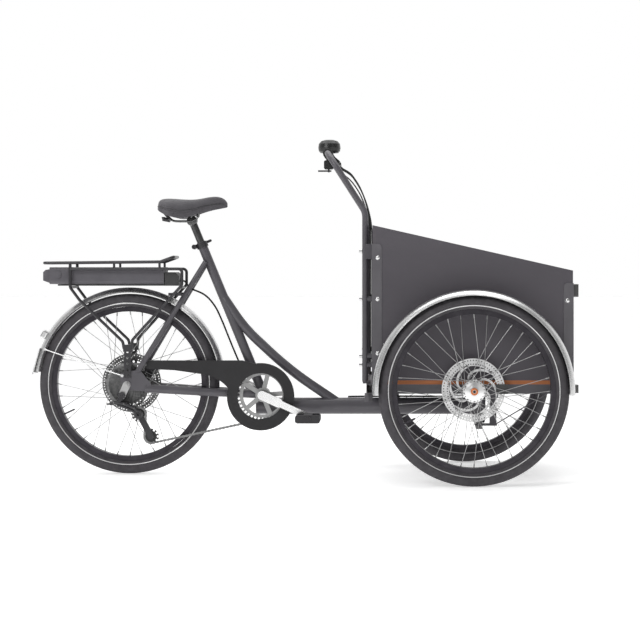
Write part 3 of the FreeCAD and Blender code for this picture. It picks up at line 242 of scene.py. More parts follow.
def floor_ply():
    """Filmed plywood with bare, oiled edges, where veneers show as bands two millimetres thick."""
    skin = Surface("oiled_ply_edge", specular=0.3)
    layers = skin.bands("Z", 0.001948)
    layers.inputs["Distortion"].default_value = 0.6
    fibres = skin.noise(0.012, 6.0, skin.stretched((0.15, 0.15, 4)))
    veneer = skin.ramp(layers.outputs["Fac"], (0.2, srgb(150, 90, 56)), (0.7, srgb(188, 120, 80)))
    darker = skin.remap(fibres, 0.0, 0.5)
    edge = skin.mix(darker, veneer, srgb(130, 76, 46))
    # the broad faces carry the same dark film as the panels; only the cut edges are bare
    facing = skin.add("ShaderNodeSeparateXYZ")
    skin.join(skin.add("ShaderNodeNewGeometry").outputs["True Normal"], facing.inputs[0])
    level = skin.add("ShaderNodeMath", operation="ABSOLUTE")
    skin.join(facing.outputs["Z"], level.inputs[0])
    film = skin.remap(level.outputs[0], 0.0, 1.0, 0.4, 0.6)
    skin.colour(skin.mix(film, edge, srgb(70, 67, 71)))
    skin.rough(skin.remap(fibres, 0.45, 0.65))
    skin.bump(fibres, 0.0002, 0.5)
    return skin


def rubber(name, dark, light, relief, grain):
    """Dusty rubber between two levels of grey, with fine relief."""
    skin = Surface(name, specular=0.35)
    dusty = skin.noise(0.015, 6.0)
    skin.colour(skin.ramp(dusty, (0.35, grey(dark)), (0.7, grey(light))))
    skin.rough(skin.remap(dusty, 0.62, 0.8))
    skin.bump(skin.noise(grain, 4.0), relief, 0.5)
    return skin


def tyre_rubber():
    """Dark grey rubber, dusted paler in patches."""
    skin = Surface("tyre_rubber", specular=0.3)
    dusty = skin.noise(0.02, 6.0)
    skin.colour(skin.ramp(dusty, (0.35, srgb(64, 62, 65)), (0.7, srgb(78, 76, 79))))
    skin.rough(skin.remap(dusty, 0.6, 0.78))
    skin.bump(skin.noise(0.0015, 4.0), 0.00015, 0.5)
    return skin


def saddle_vinyl():
    """Soft vinyl with a pebbled leather grain."""
    skin = Surface("saddle_vinyl", specular=0.4, sheen=0.15)
    skin.colour(skin.ramp(skin.noise(0.04), (0.3, srgb(72, 70, 74)), (0.7, srgb(84, 82, 86))))
    pebbles = skin.cells(0.0021)
    skin.rough(skin.remap(pebbles, 0.42, 0.6, 0.1, 0.6))
    skin.bump(pebbles, 0.0003, 0.5)
    skin.bump(skin.noise(0.02, 3.0), 0.0005, 0.25)
    return skin


def clear_lens(name, colour):
    """Tinted acrylic with moulded ribs behind its face, darkened in the rib grooves as painted shade."""
    skin = Surface(name, coat=0.6, coat_rough=0.05)
    ribs = skin.bands("Y", 0.006284)
    groove_shade = tuple(channel * 0.55 for channel in colour[:3]) + (1,)
    # painted shade: the tint darkens to about half in the rib grooves
    skin.colour(skin.ramp(ribs.outputs["Fac"], (0.2, groove_shade), (0.8, colour)))
    skin.rough(skin.remap(skin.noise(0.01), 0.12, 0.2))
    skin.bump(ribs.outputs["Fac"], 0.0004, 0.6)
    return skin


def ribbed(name, dark, light, spacing, relief):
    """Rubber moulded with ribs that follow one another along Y, darker in the grooves and paler on the
    ridges: painted shade and highlight.
    """
    skin = Surface(name, specular=0.35)
    ribs = skin.bands("Y", spacing)
    # painted shade in the rib grooves and painted highlight on the ridges, on the same bands as the relief
    skin.colour(skin.ramp(ribs.outputs["Fac"], (0.2, dark), (0.8, light)))
    skin.rough(skin.remap(skin.noise(0.004), 0.55, 0.75))
    skin.bump(ribs.outputs["Fac"], relief, 0.8)
    return skin


ALONG_Y_GRAIN = (1, 0.03, 1)
SURFACES = {
    "frame_paint": powder_coat("frame_paint", srgb(74, 72, 76), srgb(83, 81, 86)),
    "rack_paint": powder_coat("rack_paint", srgb(40, 39, 42), srgb(50, 49, 52), (0.3, 0.4)),
    "bearing_steel": metal("bearing_steel", grey(90), grey(110)),
    "axle_steel": metal("axle_steel", grey(170), grey(195), (0.3, 0.45)),
    "tyre_rubber": tyre_rubber(),
    "reflective_stripe": metal("reflective_stripe", grey(205), grey(225), (0.5, 0.6)),
    "rim_anodised": metal("rim_anodised", srgb(62, 60, 64), srgb(76, 74, 78), (0.32, 0.42)),
    "spoke_steel": metal("spoke_steel", grey(160), grey(182), (0.28, 0.38)),
    "spoke_hole": metal("spoke_hole", grey(60), grey(84), (0.35, 0.5)),
    "hub_alloy": metal("hub_alloy", grey(226), grey(240), (0.3, 0.42)),
    "cap_bronze": metal("cap_bronze", srgb(196, 112, 70), srgb(214, 132, 88), (0.3, 0.45)),
    "rotor_steel": metal("rotor_steel", grey(208), grey(230), (0.28, 0.4)),
    "cassette_steel": metal("cassette_steel", grey(70), grey(125), (0.3, 0.45)),
    "chain_steel": metal("chain_steel", grey(110), grey(160), (0.3, 0.45)),
    "chainring_grey": metal("chainring_grey", grey(150), grey(168), (0.35, 0.45)),
    "crank_alloy": metal("crank_alloy", grey(234), grey(246), (0.18, 0.28)),
    "pedal_resin": moulded("pedal_resin", srgb(44, 43, 46), srgb(54, 53, 56)),
    "derailleur_black": powder_coat("derailleur_black", srgb(38, 37, 40), srgb(48, 47, 50)),
    "jockey_resin": moulded("jockey_resin", grey(36), grey(46)),
    "guard_plastic": moulded("guard_plastic", srgb(27, 26, 28), srgb(34, 33, 35)),
    "post_alloy": metal("post_alloy", grey(80), grey(95), (0.3, 0.4)),
    "saddle_vinyl": saddle_vinyl(),
    "saddle_thread": rubber("saddle_thread", 52, 62, 0.0001, 0.0008),
    "fender_alloy": metal("fender_alloy", grey(212), grey(226), (0.24, 0.34), ALONG_Y_GRAIN),
    "battery_shell": moulded("battery_shell", srgb(80, 78, 83), srgb(88, 86, 91)),
    "dock_plastic": moulded("dock_plastic", grey(52), grey(60)),
    "panel_ply": film_ply(),
    "floor_ply": floor_ply(),
    "angle_steel": powder_coat("angle_steel", srgb(82, 80, 84), srgb(92, 90, 94)),
    "bolt_chrome": metal("bolt_chrome", grey(205), grey(225), (0.12, 0.2)),
    "grip_rubber": ribbed("grip_rubber", grey(28), grey(40), 0.004, 0.0006),
    "control_plastic": moulded("control_plastic", grey(36), grey(44), (0.25, 0.35)),
    "lever_alloy": powder_coat("lever_alloy", grey(48), grey(56)),
    "caliper_alloy": powder_coat("caliper_alloy", grey(50), grey(62)),
    "lamp_lens": clear_lens("lamp_lens", grey(70)),
    "cable_jacket": rubber("cable_jacket", 30, 40, 0.00005, 0.004),
}


def paint_nodes():
    """Every CAD node gets the material of its own slot."""
    for part in frame["record"]["subparts"]:
        mesh = NODES[part["node"]].data
        mesh.materials.clear()
        mesh.materials.append(SURFACES[part["material_slot"]].material)


# ================================================================ mesh building
def polar(centre, radius, angle):
    """The (x, z) point at an angle in radians round an (x, z) centre."""
    return centre[0] + radius * math.cos(angle), centre[1] + radius * math.sin(angle)


class Form:
    """A mesh built from turned, swept and drilled shapes, in millimetres, each with its own surface.

    Points are (x, y, z) with x from the middle of the trike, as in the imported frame.
    """

    def __init__(self):
        self.mesh = bmesh.new()
        self.surfaces = []

    def grid(self, rows, surface, round_rows=False, round_columns=False):
        """Joins rows of points with quads; either direction can close on itself."""
        if surface not in self.surfaces:
            self.surfaces.append(surface)
        number = self.surfaces.index(surface)
        made = [[self.mesh.verts.new(Vector(point) * MM) for point in row] for row in rows]
        row_pairs = list(zip(made, made[1:]))
        if round_rows:
            row_pairs.append((made[-1], made[0]))
        for first, second in row_pairs:
            count = len(first)
            last = count if round_columns else count - 1
            for column in range(last):
                after = (column + 1) % count
                corners = (first[column], first[after], second[after], second[column])
                self.mesh.faces.new(corners).material_index = number

    def lathe(self, profile, centre, surface, steps, closed=False, shape=None):
        """Turns (radius, y) points round the axis that runs along Y through centre.

        A shape gives the radius to use at an angle in place of the profile's own.
        """
        columns = list(profile) + ([profile[0]] if closed else [])
        rows = []
        for step in range(steps):
            angle = math.tau * step / steps
            row = []
            for radius, y in columns:
                if shape:
                    radius = shape(angle, radius)
                x, z = polar(centre, max(radius, 0.01), angle)
                row.append((x, y, z))
            rows.append(row)
        self.grid(rows, surface, round_rows=True)

    def tube(self, points, radius, surface, sides=10):
        """A round bar along points, closed at both ends."""
        line = [Vector(point) for point in points]
        rows = []
        for index, point in enumerate(line):
            ahead = line[min(index + 1, len(line) - 1)] - line[max(index - 1, 0)]
            ahead.normalize()
            guide = UP if abs(ahead.z) < 0.9 else ALONG_X
            side = ahead.cross(guide).normalized()
            top = side.cross(ahead)
            ring = []
            for step in range(sides):
                angle = math.tau * step / sides
                away = side * (radius * math.cos(angle)) + top * (radius * math.sin(angle))
                ring.append(point + away)
            rows.append(ring)
        rows.insert(0, [line[0]] * sides)
        rows.append([line[-1]] * sides)
        self.grid(rows, surface, round_columns=True)

    def dome(self, centre, radius, height, outward, surface):
        """A rounded rivet head that stands on a plane of constant y."""
        x, y, z = centre
        profile = [(radius, y), (radius * 0.9, y + outward * height * 0.6),
                   (radius * 0.5, y + outward * height), (0, y + outward * height)]
        self.lathe(profile, (x, z), surface, steps=12)

    def make(self, name, body, slot, *nodes, sharp=35, soften=False):
        """Finishes the mesh as an object that rides on a body and stands for CAD nodes."""
        bmesh.ops.remove_doubles(self.mesh, verts=self.mesh.verts, dist=1e-6)
        bmesh.ops.recalc_face_normals(self.mesh, faces=self.mesh.faces)
        data = bpy.data.meshes.new(name)
        self.mesh.to_mesh(data)
        self.mesh.free()
        for surface in self.surfaces:
            data.materials.append(SURFACES[surface].material)
        data.shade_smooth()
        data.set_sharp_from_angle(angle=math.radians(sharp))
        piece = bpy.data.objects.new(name, data)
        bpy.context.scene.collection.objects.link(piece)
        if soften:
            smooth = piece.modifiers.new("soften", "SUBSURF")
            smooth.levels = 1
            smooth.render_levels = 2
        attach(piece, body)
        if nodes:
            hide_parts(*nodes)
        return piece


# ================================================================ wheels
WHEELS = (
    # name, body, axle, middle plane y, outward side
    ("right", "right_wheel", FRONT_AXLE, -390.0, -1),
    ("left", "left_wheel", FRONT_AXLE, 390.0, 1),
    ("rear", "rear_wheel", REAR_AXLE, 0.0, -1))
TYRE_R = 278.5                # from the axle to the middle of the tyre's section
TYRE_SECTION = 25.0
TREAD_BLOCKS = 108
FRONT_DISC_Y = 350.0
FRONT_DISC_R = 101.5
REAR_DISC_Y = 46.0
REAR_DISC_R = 100.0
DISC_RING = 24.0              # width of the disc's drilled ring
DISC_HOLE_R = 2.1
DISC_HOLES = 66               # in each of two rows
DISC_ARMS = 6
SPOKES_A_SIDE = 18


def tread_depth(angle, lean):
    """How far the tread is cut in: slanted sipes on the shoulders and two rings of groove."""
    across = abs(lean)
    if across > math.radians(52):
        return 0.0
    groove = 1.3 if abs(across - math.radians(15)) < math.radians(2.6) else 0.0
    phase = (angle * TREAD_BLOCKS / math.tau + lean * 1.1) % 1.0
    sipe = 1.4 if phase < 0.25 and across > math.radians(18) else 0.0
    return max(groove, sipe)


def build_tyre(name, body, centre, middle):
    """A city tyre: cut tread, a pale reflective stripe on each wall and ridges by the rim."""
    form = Form()
    leans = [math.radians(degree) for degree in range(-136, 137, 4)]
    steps = TREAD_BLOCKS * 4
    stripe = (math.radians(103), math.radians(109.5))

    def point(angle, lean):
        wall_ridge = 0.35 if abs(abs(lean) - math.radians(124)) < math.radians(3) else 0.0
        section = TYRE_SECTION - tread_depth(angle, lean) - wall_ridge
        x, z = polar(centre, TYRE_R + section * math.cos(lean), angle)
        return x, middle + section * math.sin(lean), z

    def band(lows, surface):
        rows = [[point(math.tau * step / steps, lean) for lean in lows] for step in range(steps)]
        form.grid(rows, surface, round_rows=True)

    band([lean for lean in leans if abs(lean) <= stripe[0]], "tyre_rubber")
    for side in (-1, 1):
        band([side * stripe[0], side * (stripe[0] + stripe[1]) / 2, side * stripe[1]], "reflective_stripe")
        beads = [side * stripe[1]] + [side * lean for lean in leans if lean > stripe[1]]
        band(beads, "tyre_rubber")
    band([leans[-1], leans[0]], "tyre_rubber")
    form.make(f"{name}_tyre_tread", body, "tyre_rubber", f"{name}_tyre", sharp=40)


def drilled_cell(form, centre, radii, angles, y_range, hole_r, surface):
    """One patch of a disc between two radii and two angles, with a round hole through it."""
    inner, outer = radii
    start, end = angles
    middle_r = (inner + outer) / 2
    middle_a = (start + end) / 2
    rim = [(inner, start), (inner, middle_a), (inner, end), (middle_r, end), (outer, end),
           (outer, middle_a), (outer, start), (middle_r, start)]
    hole_x, hole_z = polar(centre, middle_r, middle_a)
    outline = [polar(centre, radius, angle) for radius, angle in rim]
    hole = []
    for x, z in outline:
        away = Vector((x - hole_x, z - hole_z)).normalized() * hole_r
        hole.append((hole_x + away.x, hole_z + away.y))
    near, far = y_range
    rows = [[(x, near, z) for x, z in outline], [(x, near, z) for x, z in hole],
            [(x, far, z) for x, z in hole], [(x, far, z) for x, z in outline]]
    form.grid(rows, surface, round_columns=True)


def rotor_arm(form, centre, start, outer, faces, surface):
    """One arm of a disc: it leaves the centre at a slant and bows out to the drilled ring."""
    inner = 26.0
    rows = []
    for step in range(17):
        along = step / 16
        bow = math.sin(math.pi * along)
        angle = start + math.radians(20 * bow - 78 * along)
        heading = angle - math.radians(90 - 55 * along)
        half = 5.2 - 1.6 * bow
        across = (half * math.sin(heading), half * math.cos(heading))
        x, z = polar(centre, inner + (outer - inner) * along, angle)
        left = (x - across[0], z + across[1])
        right = (x + across[0], z - across[1])
        rows.append([(left[0], faces[0], left[1]), (right[0], faces[0], right[1]),
                     (right[0], faces[1], right[1]), (left[0], faces[1], left[1])])
    form.grid(rows, surface, round_columns=True)


def build_rotor(name, body, centre, plane, radius, surface):
    """A brake disc: two rows of small holes in the ring, and six arms that sweep out from the centre."""
    form = Form()
    faces = (plane - 1.0, plane + 1.0)
    ring_in = radius - DISC_RING
    between = radius - 12.5
    for radii in ((ring_in, between), (between, radius)):
        for cell in range(DISC_HOLES):
            angles = (math.tau * cell / DISC_HOLES, math.tau * (cell + 1) / DISC_HOLES)
            drilled_cell(form, centre, radii, angles, faces, DISC_HOLE_R, surface)
    for edge in (radius, ring_in):
        form.lathe([(edge, faces[0]), (edge, faces[1])], centre, surface, 2 * DISC_HOLES)
    form.lathe([(18, faces[0]), (29, faces[0]), (29, faces[1]), (18, faces[1])], centre,
               surface, 72, closed=True)
    for arm in range(DISC_ARMS):
        start = math.tau * arm / DISC_ARMS
        rotor_arm(form, centre, start, ring_in + 2, faces, surface)
    for bolt in range(DISC_ARMS):
        x, z = polar(centre, 22, math.tau * bolt / DISC_ARMS)
        form.dome((x, faces[0], z), 3, 1.2, -1, "axle_steel")
        form.dome((x, faces[1], z), 3, 1.2, 1, "axle_steel")
    form.make(f"{name}_brake_disc", body, "rotor_steel", f"{name}_rotor", sharp=30)


def build_front_hub(name, body, centre, side):
    """A polished shell with a domed outer face, and the heads of eighteen spokes round it."""
    form = Form()
    bore = 8.05
    profile = [(bore, 351), (26, 351), (26, 354), (15, 356), (15, 360), (27, 363.5), (34, 363.5),
               (35, 364.5), (35, 365.5), (34, 366.5), (27, 366.5), (16, 373), (15.5, 390), (16, 407),
               (27, 413.5), (35, 413.5), (36, 414.5), (36, 415.6), (35, 416.6), (32, 417.4),
               (27, 419.4), (21, 421.4), (16.5, 422.6), (15.6, 423), (15, 424), (14.4, 425),
               (13.2, 425.4), (bore, 425.4)]
    turned = [(radius, side * y) for radius, y in profile]
    form.lathe(turned, centre, "hub_alloy", 96, closed=True)
    for spoke in range(SPOKES_A_SIDE):
        x, z = polar(centre, 31.5, math.tau * (spoke + 0.5) / SPOKES_A_SIDE)
        form.dome((x, side * 417.2, z), 2.0, 0.9, side, "spoke_hole")
    form.make(f"{name}_hub_shell", body, "hub_alloy", f"{name}_hub", sharp=25)


def build_front_axles():
    """Stub axles with a bronze cap outside the hub; the cap has a hexagonal socket with a steel lip."""
    form = Form()
    for side in (-1, 1):
        shaft = [(0, 272), (8, 272), (8, 315), (16, 315), (16, 348), (8, 348), (8, 426)]
        form.lathe([(radius, side * y) for radius, y in shaft], FRONT_AXLE, "axle_steel", 40)
        cap = [(8, 426), (12, 426), (12, 431), (11, 432.5), (10, 433), (5.6, 433)]
        form.lathe([(radius, side * y) for radius, y in cap], FRONT_AXLE, "cap_bronze", 48)
        lip = [(5.6, 432.6), (5.5, 434), (4.6, 434), (4.4, 433)]
        form.lathe([(radius, side * y) for radius, y in lip], FRONT_AXLE, "bolt_chrome", 36)
        # painted shade: the socket's inside is drawn in the dark spoke-hole metal
        socket = [(4.4, 433.2), (4.2, 428), (0, 427.5)]
        form.lathe([(radius, side * y) for radius, y in socket], FRONT_AXLE, "spoke_hole", 6)
    form.make("front_stub_axles", "steered_front", "axle_steel", "front_axles", sharp=25)


def build_wheels():
    """Tyres and discs for all three wheels, and the hubs and axles of the front pair."""
    for name, body, centre, middle, side in WHEELS:
        build_tyre(name, body, centre, middle)
        if name == "rear":
            # the rear disc takes the dark cassette steel, not the front discs' bright steel: painted shade
            # for a disc in shadow behind the cassette
            build_rotor(name, body, centre, REAR_DISC_Y, REAR_DISC_R, "cassette_steel")
        else:
            build_rotor(name, body, centre, side * FRONT_DISC_Y, FRONT_DISC_R, "rotor_steel")
            build_front_hub(name, body, centre, side)
    build_front_axles()


# ================================================================ chain and sprockets
PITCH = 12.7
CHAIN_Y = -40.0               # the chain's plane, on the largest cog
CHAINRING_TEETH = 40
COGS = (34, 28, 24, 21, 18, 15, 12)
COG_SPACING = 4.0
GUIDE_PULLEY = (-543.0, 203.0)
TENSION_PULLEY = (-503.0, 128.0)
PULLEY_TEETH = 11
LINK_OUTLINE = (              # share of the pitch from the pin, half height of the side plate
    (-0.3, 1.6), (-0.22, 3.4), (0, 4.1), (0.22, 3.5), (0.5, 2.7),
    (0.78, 3.5), (1, 4.1), (1.22, 3.4), (1.3, 1.6))


def sprocket_r(teeth):
    """The pitch radius of a sprocket."""
    return PITCH / 2 / math.sin(math.pi / teeth)


def straight_runs(wheels):
    """Where the chain leaves each wheel and where it lands on the next one."""
    joins = []
    for index, (centre_a, radius_a, turn_a) in enumerate(wheels):
        centre_b, radius_b, turn_b = wheels[(index + 1) % len(wheels)]
        step = Vector(centre_b) - Vector(centre_a)
        tilt = math.asin((turn_a * radius_a - turn_b * radius_b) / step.length)
        direction = math.atan2(step.y, step.x) + tilt
        normal = Vector((math.sin(direction), -math.cos(direction)))
        joins.append((Vector(centre_a) + normal * (turn_a * radius_a),
                      Vector(centre_b) + normal * (turn_b * radius_b)))
    return joins


def chain_line():
    """The closed line of the chain, as close points: ring, cassette, guide and tension pulley."""
    pulley_r = sprocket_r(PULLEY_TEETH)
    wheels = [(BRACKET, sprocket_r(CHAINRING_TEETH), 1), (REAR_AXLE, sprocket_r(COGS[0]), 1),
              (GUIDE_PULLEY, pulley_r, -1), (TENSION_PULLEY, pulley_r, 1)]
    joins = straight_runs(wheels)
    line = []
    for index, (centre, radius, turn) in enumerate(wheels):
        start = joins[index - 1][1] - Vector(centre)
        end = joins[index][0] - Vector(centre)
        first = math.atan2(start.y, start.x)
        sweep = (math.atan2(end.y, end.x) - first) % math.tau
        if turn < 0:
            sweep -= math.tau
        steps = max(8, int(abs(sweep) * radius / 2))
        for step in range(steps + 1):
            line.append(Vector(polar(centre, radius, first + sweep * step / steps)))
        line.append(joins[index][1])
    return line


def chain_points():
    """One point per pin, evenly spaced along the chain's line, an even number of them."""
    line = chain_line()
    lengths = [0.0]
    for before, after in zip(line, line[1:]):
        lengths.append(lengths[-1] + (after - before).length)
    links = 2 * round(lengths[-1] / PITCH / 2)
    spots = []
    at = 0
    for link in range(links):
        goal = lengths[-1] * link / links
        while lengths[at + 1] < goal:
            at += 1
        share = (goal - lengths[at]) / max(lengths[at + 1] - lengths[at], 1e-6)
        spots.append(line[at].lerp(line[at + 1], share))
    return spots


def side_plate(form, spot, ahead, near, far):
    """One waisted plate of a link, between two planes of y."""
    across = Vector((-ahead.y, ahead.x))
    rows = []
    for share, half in LINK_OUTLINE:
        middle = spot + ahead * (PITCH * share)
        a = middle + across * half
        b = middle - across * half
        rows.append([(a.x, near, a.y), (a.x, far, a.y), (b.x, far, b.y), (b.x, near, b.y)])
    form.grid(rows, "chain_steel", round_columns=True)


def build_chain():
    """A roller chain: waisted side plates, inner and outer in turn, with pins and rollers."""
    form = Form()
    spots = chain_points()
    roller = [(0, -3.75), (1.8, -3.7), (1.8, -2), (3.8, -2), (3.8, 2), (1.8, 2), (1.8, 3.7), (0, 3.75)]
    for index, spot in enumerate(spots):
        after = spots[(index + 1) % len(spots)]
        outer = index % 2
        ahead = (after - spot).normalized()
        for side in (-1, 1):
            near = CHAIN_Y + side * (2.9 if outer else 2.2)
            side_plate(form, spot, ahead, near, near + side * 0.65)
        turned = [(radius, CHAIN_Y + y) for radius, y in roller]
        form.lathe(turned, (spot.x, spot.y), "chain_steel", 10)
    form.make("roller_chain", "frame", "chain_steel", "chain", sharp=35)


def toothed(teeth, root):
    """A shape for Form.lathe that stands teeth on the root circle and leaves the rest round."""
    def shape(angle, radius):
        if radius <= root:
            return radius
        bite = 0.5 + 0.5 * math.cos(angle * teeth + math.pi)
        return root + 5.6 * min(1.0, bite * 1.5)
    return shape


def build_cassette():
    """Seven toothed cogs on a plain core, each a thin plate with a thicker rim."""
    form = Form()
    for index, teeth in enumerate(COGS):
        y = CHAIN_Y - COG_SPACING * index
        root = sprocket_r(teeth) - 3.2
        profile = [(16, y - 0.5), (root - 8, y - 0.5), (root - 7, y - 0.9), (root + 1, y - 0.9),
                   (root + 1, y + 0.9), (16, y + 0.9)]
        form.lathe(profile, REAR_AXLE, "cassette_steel", teeth * 8, closed=True,
                   shape=toothed(teeth, root))
    form.lathe([(15.2, -65), (19, -65), (19, -38.8), (15.2, -38.8)], REAR_AXLE, "spoke_hole", 36,
               closed=True)
    form.make("cassette_cogs", "sprockets", "chain_steel", "cassette", sharp=30)


def build_derailleur():
    """An upper knuckle on the hanger, a low parallelogram of two links and the lower knuckle."""
    form = Form()
    upper = (-596.0, 268.0)
    knuckle = [(0, -96), (5, -96), (6, -94.5), (10, -94.5), (12, -92.5), (12, -81), (11, -78.6),
               (0, -78.6)]
    form.lathe(knuckle, upper, "derailleur_black", 40)
    form.tube([(-596, -86, 266), (-601, -87, 256), (-606, -87, 246)], 8.0, "derailleur_black", 18)
    outer = [(-634, -88, 241), (-620, -90, 244), (-604, -90, 245), (-588, -86, 241), (-572, -80, 234),
             (-556, -73, 225), (-546, -67, 214)]
    inner = [(-612, -80, 237), (-596, -78, 234), (-580, -74, 227), (-564, -70, 218), (-550, -66, 208)]
    form.tube(outer, 5.6, "derailleur_black", 16)
    form.tube(inner, 5.0, "derailleur_black", 16)
    for x, y, z in (outer[1], outer[3], outer[5]):
        form.dome((x, y - 5.0, z), 3.2, 1.6, -1, "bearing_steel")
    form.tube([(-634, -88, 241), (-644, -88, 239.5)], 3.6, "bearing_steel", 12)
    lower = [(4.3, -50), (13, -50), (15, -52), (15, -64), (13, -67), (7, -67), (6, -68.5), (4.3, -68.5)]
    form.lathe(lower, GUIDE_PULLEY, "derailleur_black", 40, closed=True)
    form.make("derailleur_linkage", "frame", "derailleur_black", "derailleur_body", sharp=35)


# ================================================================ saddle
SADDLE_STATIONS = (
    # x from the rear, half width, top edge of the section, lower edge of the skirt
    (-481, 46, 909, 893), (-478, 66, 920, 886), (-470, 80, 926, 880), (-452, 90, 929, 870),
    (-425, 90, 928, 861), (-400, 78, 926, 857), (-376, 60, 925, 863), (-350, 44, 926, 874),
    (-322, 32, 932, 883), (-298, 25, 936, 889), (-276, 20, 935, 893), (-260, 16, 928, 896),
    (-251, 11, 917, 898))


def saddle_ring(x, half, top, low):
    """One cross-section: a crowned top with a shallow channel, rolled shoulders and a thin skirt."""
    ring = []
    height = top - low
    for step in range(-12, 13):
        share = step / 12
        side = math.copysign(1 - (1 - abs(share)) ** 2.2, share) if share else 0.0
        drop = abs(side) ** 4.5
        dip = 1.6 * math.exp(-(side / 0.16) ** 2) if -470 < x < -300 else 0.0
        y = half * side * (1 - 0.10 * max(0.0, drop - 0.5))
        ring.append((x, y, top - dip - height * drop * (1.0 if abs(share) > 0.95 else 0.9)))
    for step in range(9):
        share = 1 - 2 * step / 8
        ring.append((x, half * 0.86 * share, low + 5 + 0.2 * height * (1 - abs(share))))
    return ring


def saddle_end(station, outward):
    """Two rings that close an end: one of half size, then a point."""
    x, half, top, low = station
    middle = (top + low) / 2
    ring = saddle_ring(x + outward * 1.5, half, top, low)
    closed = [(px, py * 0.5, middle + (pz - middle) * 0.5) for px, py, pz in ring]
    tip = [(px, 0.0, middle) for px, py, pz in ring]
    return [closed, tip]


def build_saddle():
    """A padded cover, and a trim of two seams and the bumpers under the rear."""
    form = Form()
    rows = saddle_end(SADDLE_STATIONS[0], -1)[::-1]
    rows += [saddle_ring(*station) for station in SADDLE_STATIONS]
    rows += saddle_end(SADDLE_STATIONS[-1], 1)
    form.grid(rows, "saddle_vinyl", round_columns=True)
    cover = form.make("saddle_cover", "seat", "saddle_vinyl", "saddle", sharp=80, soften=True)

    trim = Form()
    for side in (-1, 1):
        seam = []
        for x, half, top, low in SADDLE_STATIONS[1:-1]:
            seam.append((x, side * half * 0.985, low + (top - low) * 0.42))
        trim.tube(seam, 0.9, "saddle_thread", 6)
    for side in (-1, 1):
        trim.tube([(-462, side * 34, 866), (-462, side * 34, 858), (-448, side * 30, 856)], 7,
                  "derailleur_black", 14)
    trim.make("saddle_trim", "seat", "saddle_vinyl")


def build_seat_post():
    """The post, its two-bolt clamp and the saddle's twin rails, which curve up inside the skirt."""
    form = Form()
    down = Vector((211.7, 0, -513.5)).normalized()
    top = Vector((-339.7, 0, 781.5))
    head = top - down * 78
    form.tube([head + down * 6, head + down * 60, top + down * 150], 12.7, "post_alloy", 40)
    clamp = [(0, -22), (13, -22), (16, -20), (17, -16), (17, -9), (15, -7), (15, 7), (17, 9), (17, 16),
             (16, 20), (13, 22), (0, 22)]
    form.lathe(clamp, (head.x, head.z), "post_alloy", 48)
    for side in (-1, 1):
        y = side * 22
        rail = [(-462, side * 24, 880), (-452, side * 24, 868), (-440, y, 857), (-428, y, 852.5),
                (-415, y, 852), (-380, y, 852), (-366, y, 853), (-356, y, 858), (-350, side * 20, 868),
                (-348, side * 18, 882)]
        form.tube(rail, 3.5, "bearing_steel", 12)
    for z in (838, 868):
        form.tube([(head.x, -25, z), (head.x, 25, z)], 3.0, "bolt_chrome", 12)
    form.make("seat_post_and_rails", "seat", "post_alloy", "seat_post", sharp=40)


# ================================================================ softened CAD edges
BEVELS = {                    # width of the rounding in millimetres
    "crank_arms": 2.5, "pedal_right": 2.0, "pedal_left": 2.0, "battery": 2.5, "battery_dock": 2.0,
    "chain_guard": 1.4, "corner_angles": 0.8, "box_sides": 0.8, "box_ends": 0.8, "front_frame": 0.8,
    "handlebar_controls": 1.0, "front_lamps": 1.2, "rear_stays": 0.8, "rear_axle": 1.2,
    "derailleur_cage": 0.6, "rear_caliper": 1.2, "front_calipers": 1.2,
    "seat_clamp": 0.8, "chainring": 0.4, "rack": 0.6, "push_bar": 0.5}


def soften_edges():
    """Rounds the hard edges of parts that stay as their CAD shapes."""
    for name, width in BEVELS.items():
        modifier = NODES[name].modifiers.new("edge_round", "BEVEL")
        modifier.width = width * MM
        modifier.segments = 2
        modifier.limit_method = "ANGLE"
        modifier.angle_limit = math.radians(40)


# ================================================================ stage, lights and camera
FRONT_ROOM = 0.22             # brightness of the room on the camera's side
FLOOR_GLOW = 0.42             # lifts the floor to the white of the room behind


def build_stage():
    """A wide floor of white paper."""
    mesh = bpy.data.meshes.new("studio_floor")
    reach = 40.0
    corners = [(-reach, -reach, 0), (reach, -reach, 0), (reach, reach, 0), (-reach, reach, 0)]
    mesh.from_pydata(corners, [], [(0, 1, 2, 3)])
    floor = bpy.data.objects.new("studio_floor", mesh)
    bpy.context.scene.collection.objects.link(floor)
    paper = Surface("studio_paper", specular=0.2)
    paper.colour(paper.ramp(paper.noise(0.8), (0.3, grey(250)), (0.7, grey(252))))
    paper.rough(paper.remap(paper.noise(0.3), 0.5, 0.6))
    paper.shader.inputs["Emission Color"].default_value = (1, 1, 1, 1)
    paper.shader.inputs["Emission Strength"].default_value = FLOOR_GLOW
    mesh.materials.append(paper.material)


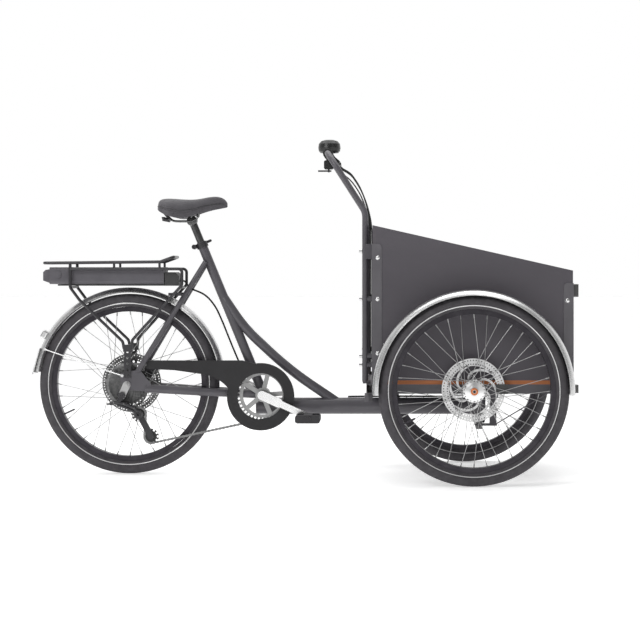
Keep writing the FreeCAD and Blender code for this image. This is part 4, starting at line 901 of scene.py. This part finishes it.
def add_softbox(name, place, target, width, height, power):
    """A rectangular light aimed at a target."""
    light = bpy.data.lights.new(name, "AREA")
    light.shape = "RECTANGLE"
    light.size = width
    light.size_y = height
    light.energy = power
    lamp = bpy.data.objects.new(name, light)
    lamp.location = place
    lamp.rotation_euler = (Vector(target) - Vector(place)).to_track_quat("-Z", "Y").to_euler()
    bpy.context.scene.collection.objects.link(lamp)


def build_world():
    """A white room behind the trike (+Y) that fades into a dimmer one on the camera's side."""
    world = bpy.data.worlds.new("white_studio")
    world.use_nodes = True
    tree = world.node_tree
    background = tree.nodes["Background"]
    place = tree.nodes.new("ShaderNodeTexCoord")
    split = tree.nodes.new("ShaderNodeSeparateXYZ")
    fade = tree.nodes.new("ShaderNodeMapRange")
    fade.inputs["From Min"].default_value = -0.3
    fade.inputs["From Max"].default_value = 0.6
    fade.inputs["To Min"].default_value = FRONT_ROOM
    fade.inputs["To Max"].default_value = 1.0
    tree.links.new(place.outputs["Generated"], split.inputs[0])
    tree.links.new(split.outputs["Y"], fade.inputs["Value"])
    tree.links.new(fade.outputs["Result"], background.inputs["Strength"])
    background.inputs["Color"].default_value = (1, 1, 1, 1)
    bpy.context.scene.world = world


def build_lights():
    """A key from the rear right, a weak fill from the front right and a wide light overhead."""
    add_softbox("key", (-2.2, -3.2, 3.4), (0.1, 0, 0.4), 2.0, 1.6, 85)
    add_softbox("fill", (2.6, -3.4, 1.6), (0.3, 0, 0.5), 2.0, 2.4, 8)
    add_softbox("top", (0.2, 0.3, 3.6), (0.1, 0, 0.4), 4.0, 2.4, 60)


def build_camera():
    """Level, far off and square to the right side, a little ahead of the middle."""
    data = bpy.data.cameras.new("camera")
    data.lens = 105.76
    data.sensor_width = 36.0
    data.shift_x = -0.1135
    data.shift_y = -0.0802
    camera = bpy.data.objects.new("camera", data)
    camera.location = (0.3089, -6.361, 0.6919)
    camera.rotation_euler = (math.radians(90), 0, 0)
    bpy.context.scene.collection.objects.link(camera)
    bpy.context.scene.camera = camera
    bpy.context.scene.view_settings.view_transform = "Standard"


paint_nodes()
soften_edges()
build_wheels()
build_chain()
build_cassette()
build_derailleur()
build_saddle()
build_seat_post()
build_stage()
build_world()
build_lights()
build_camera()
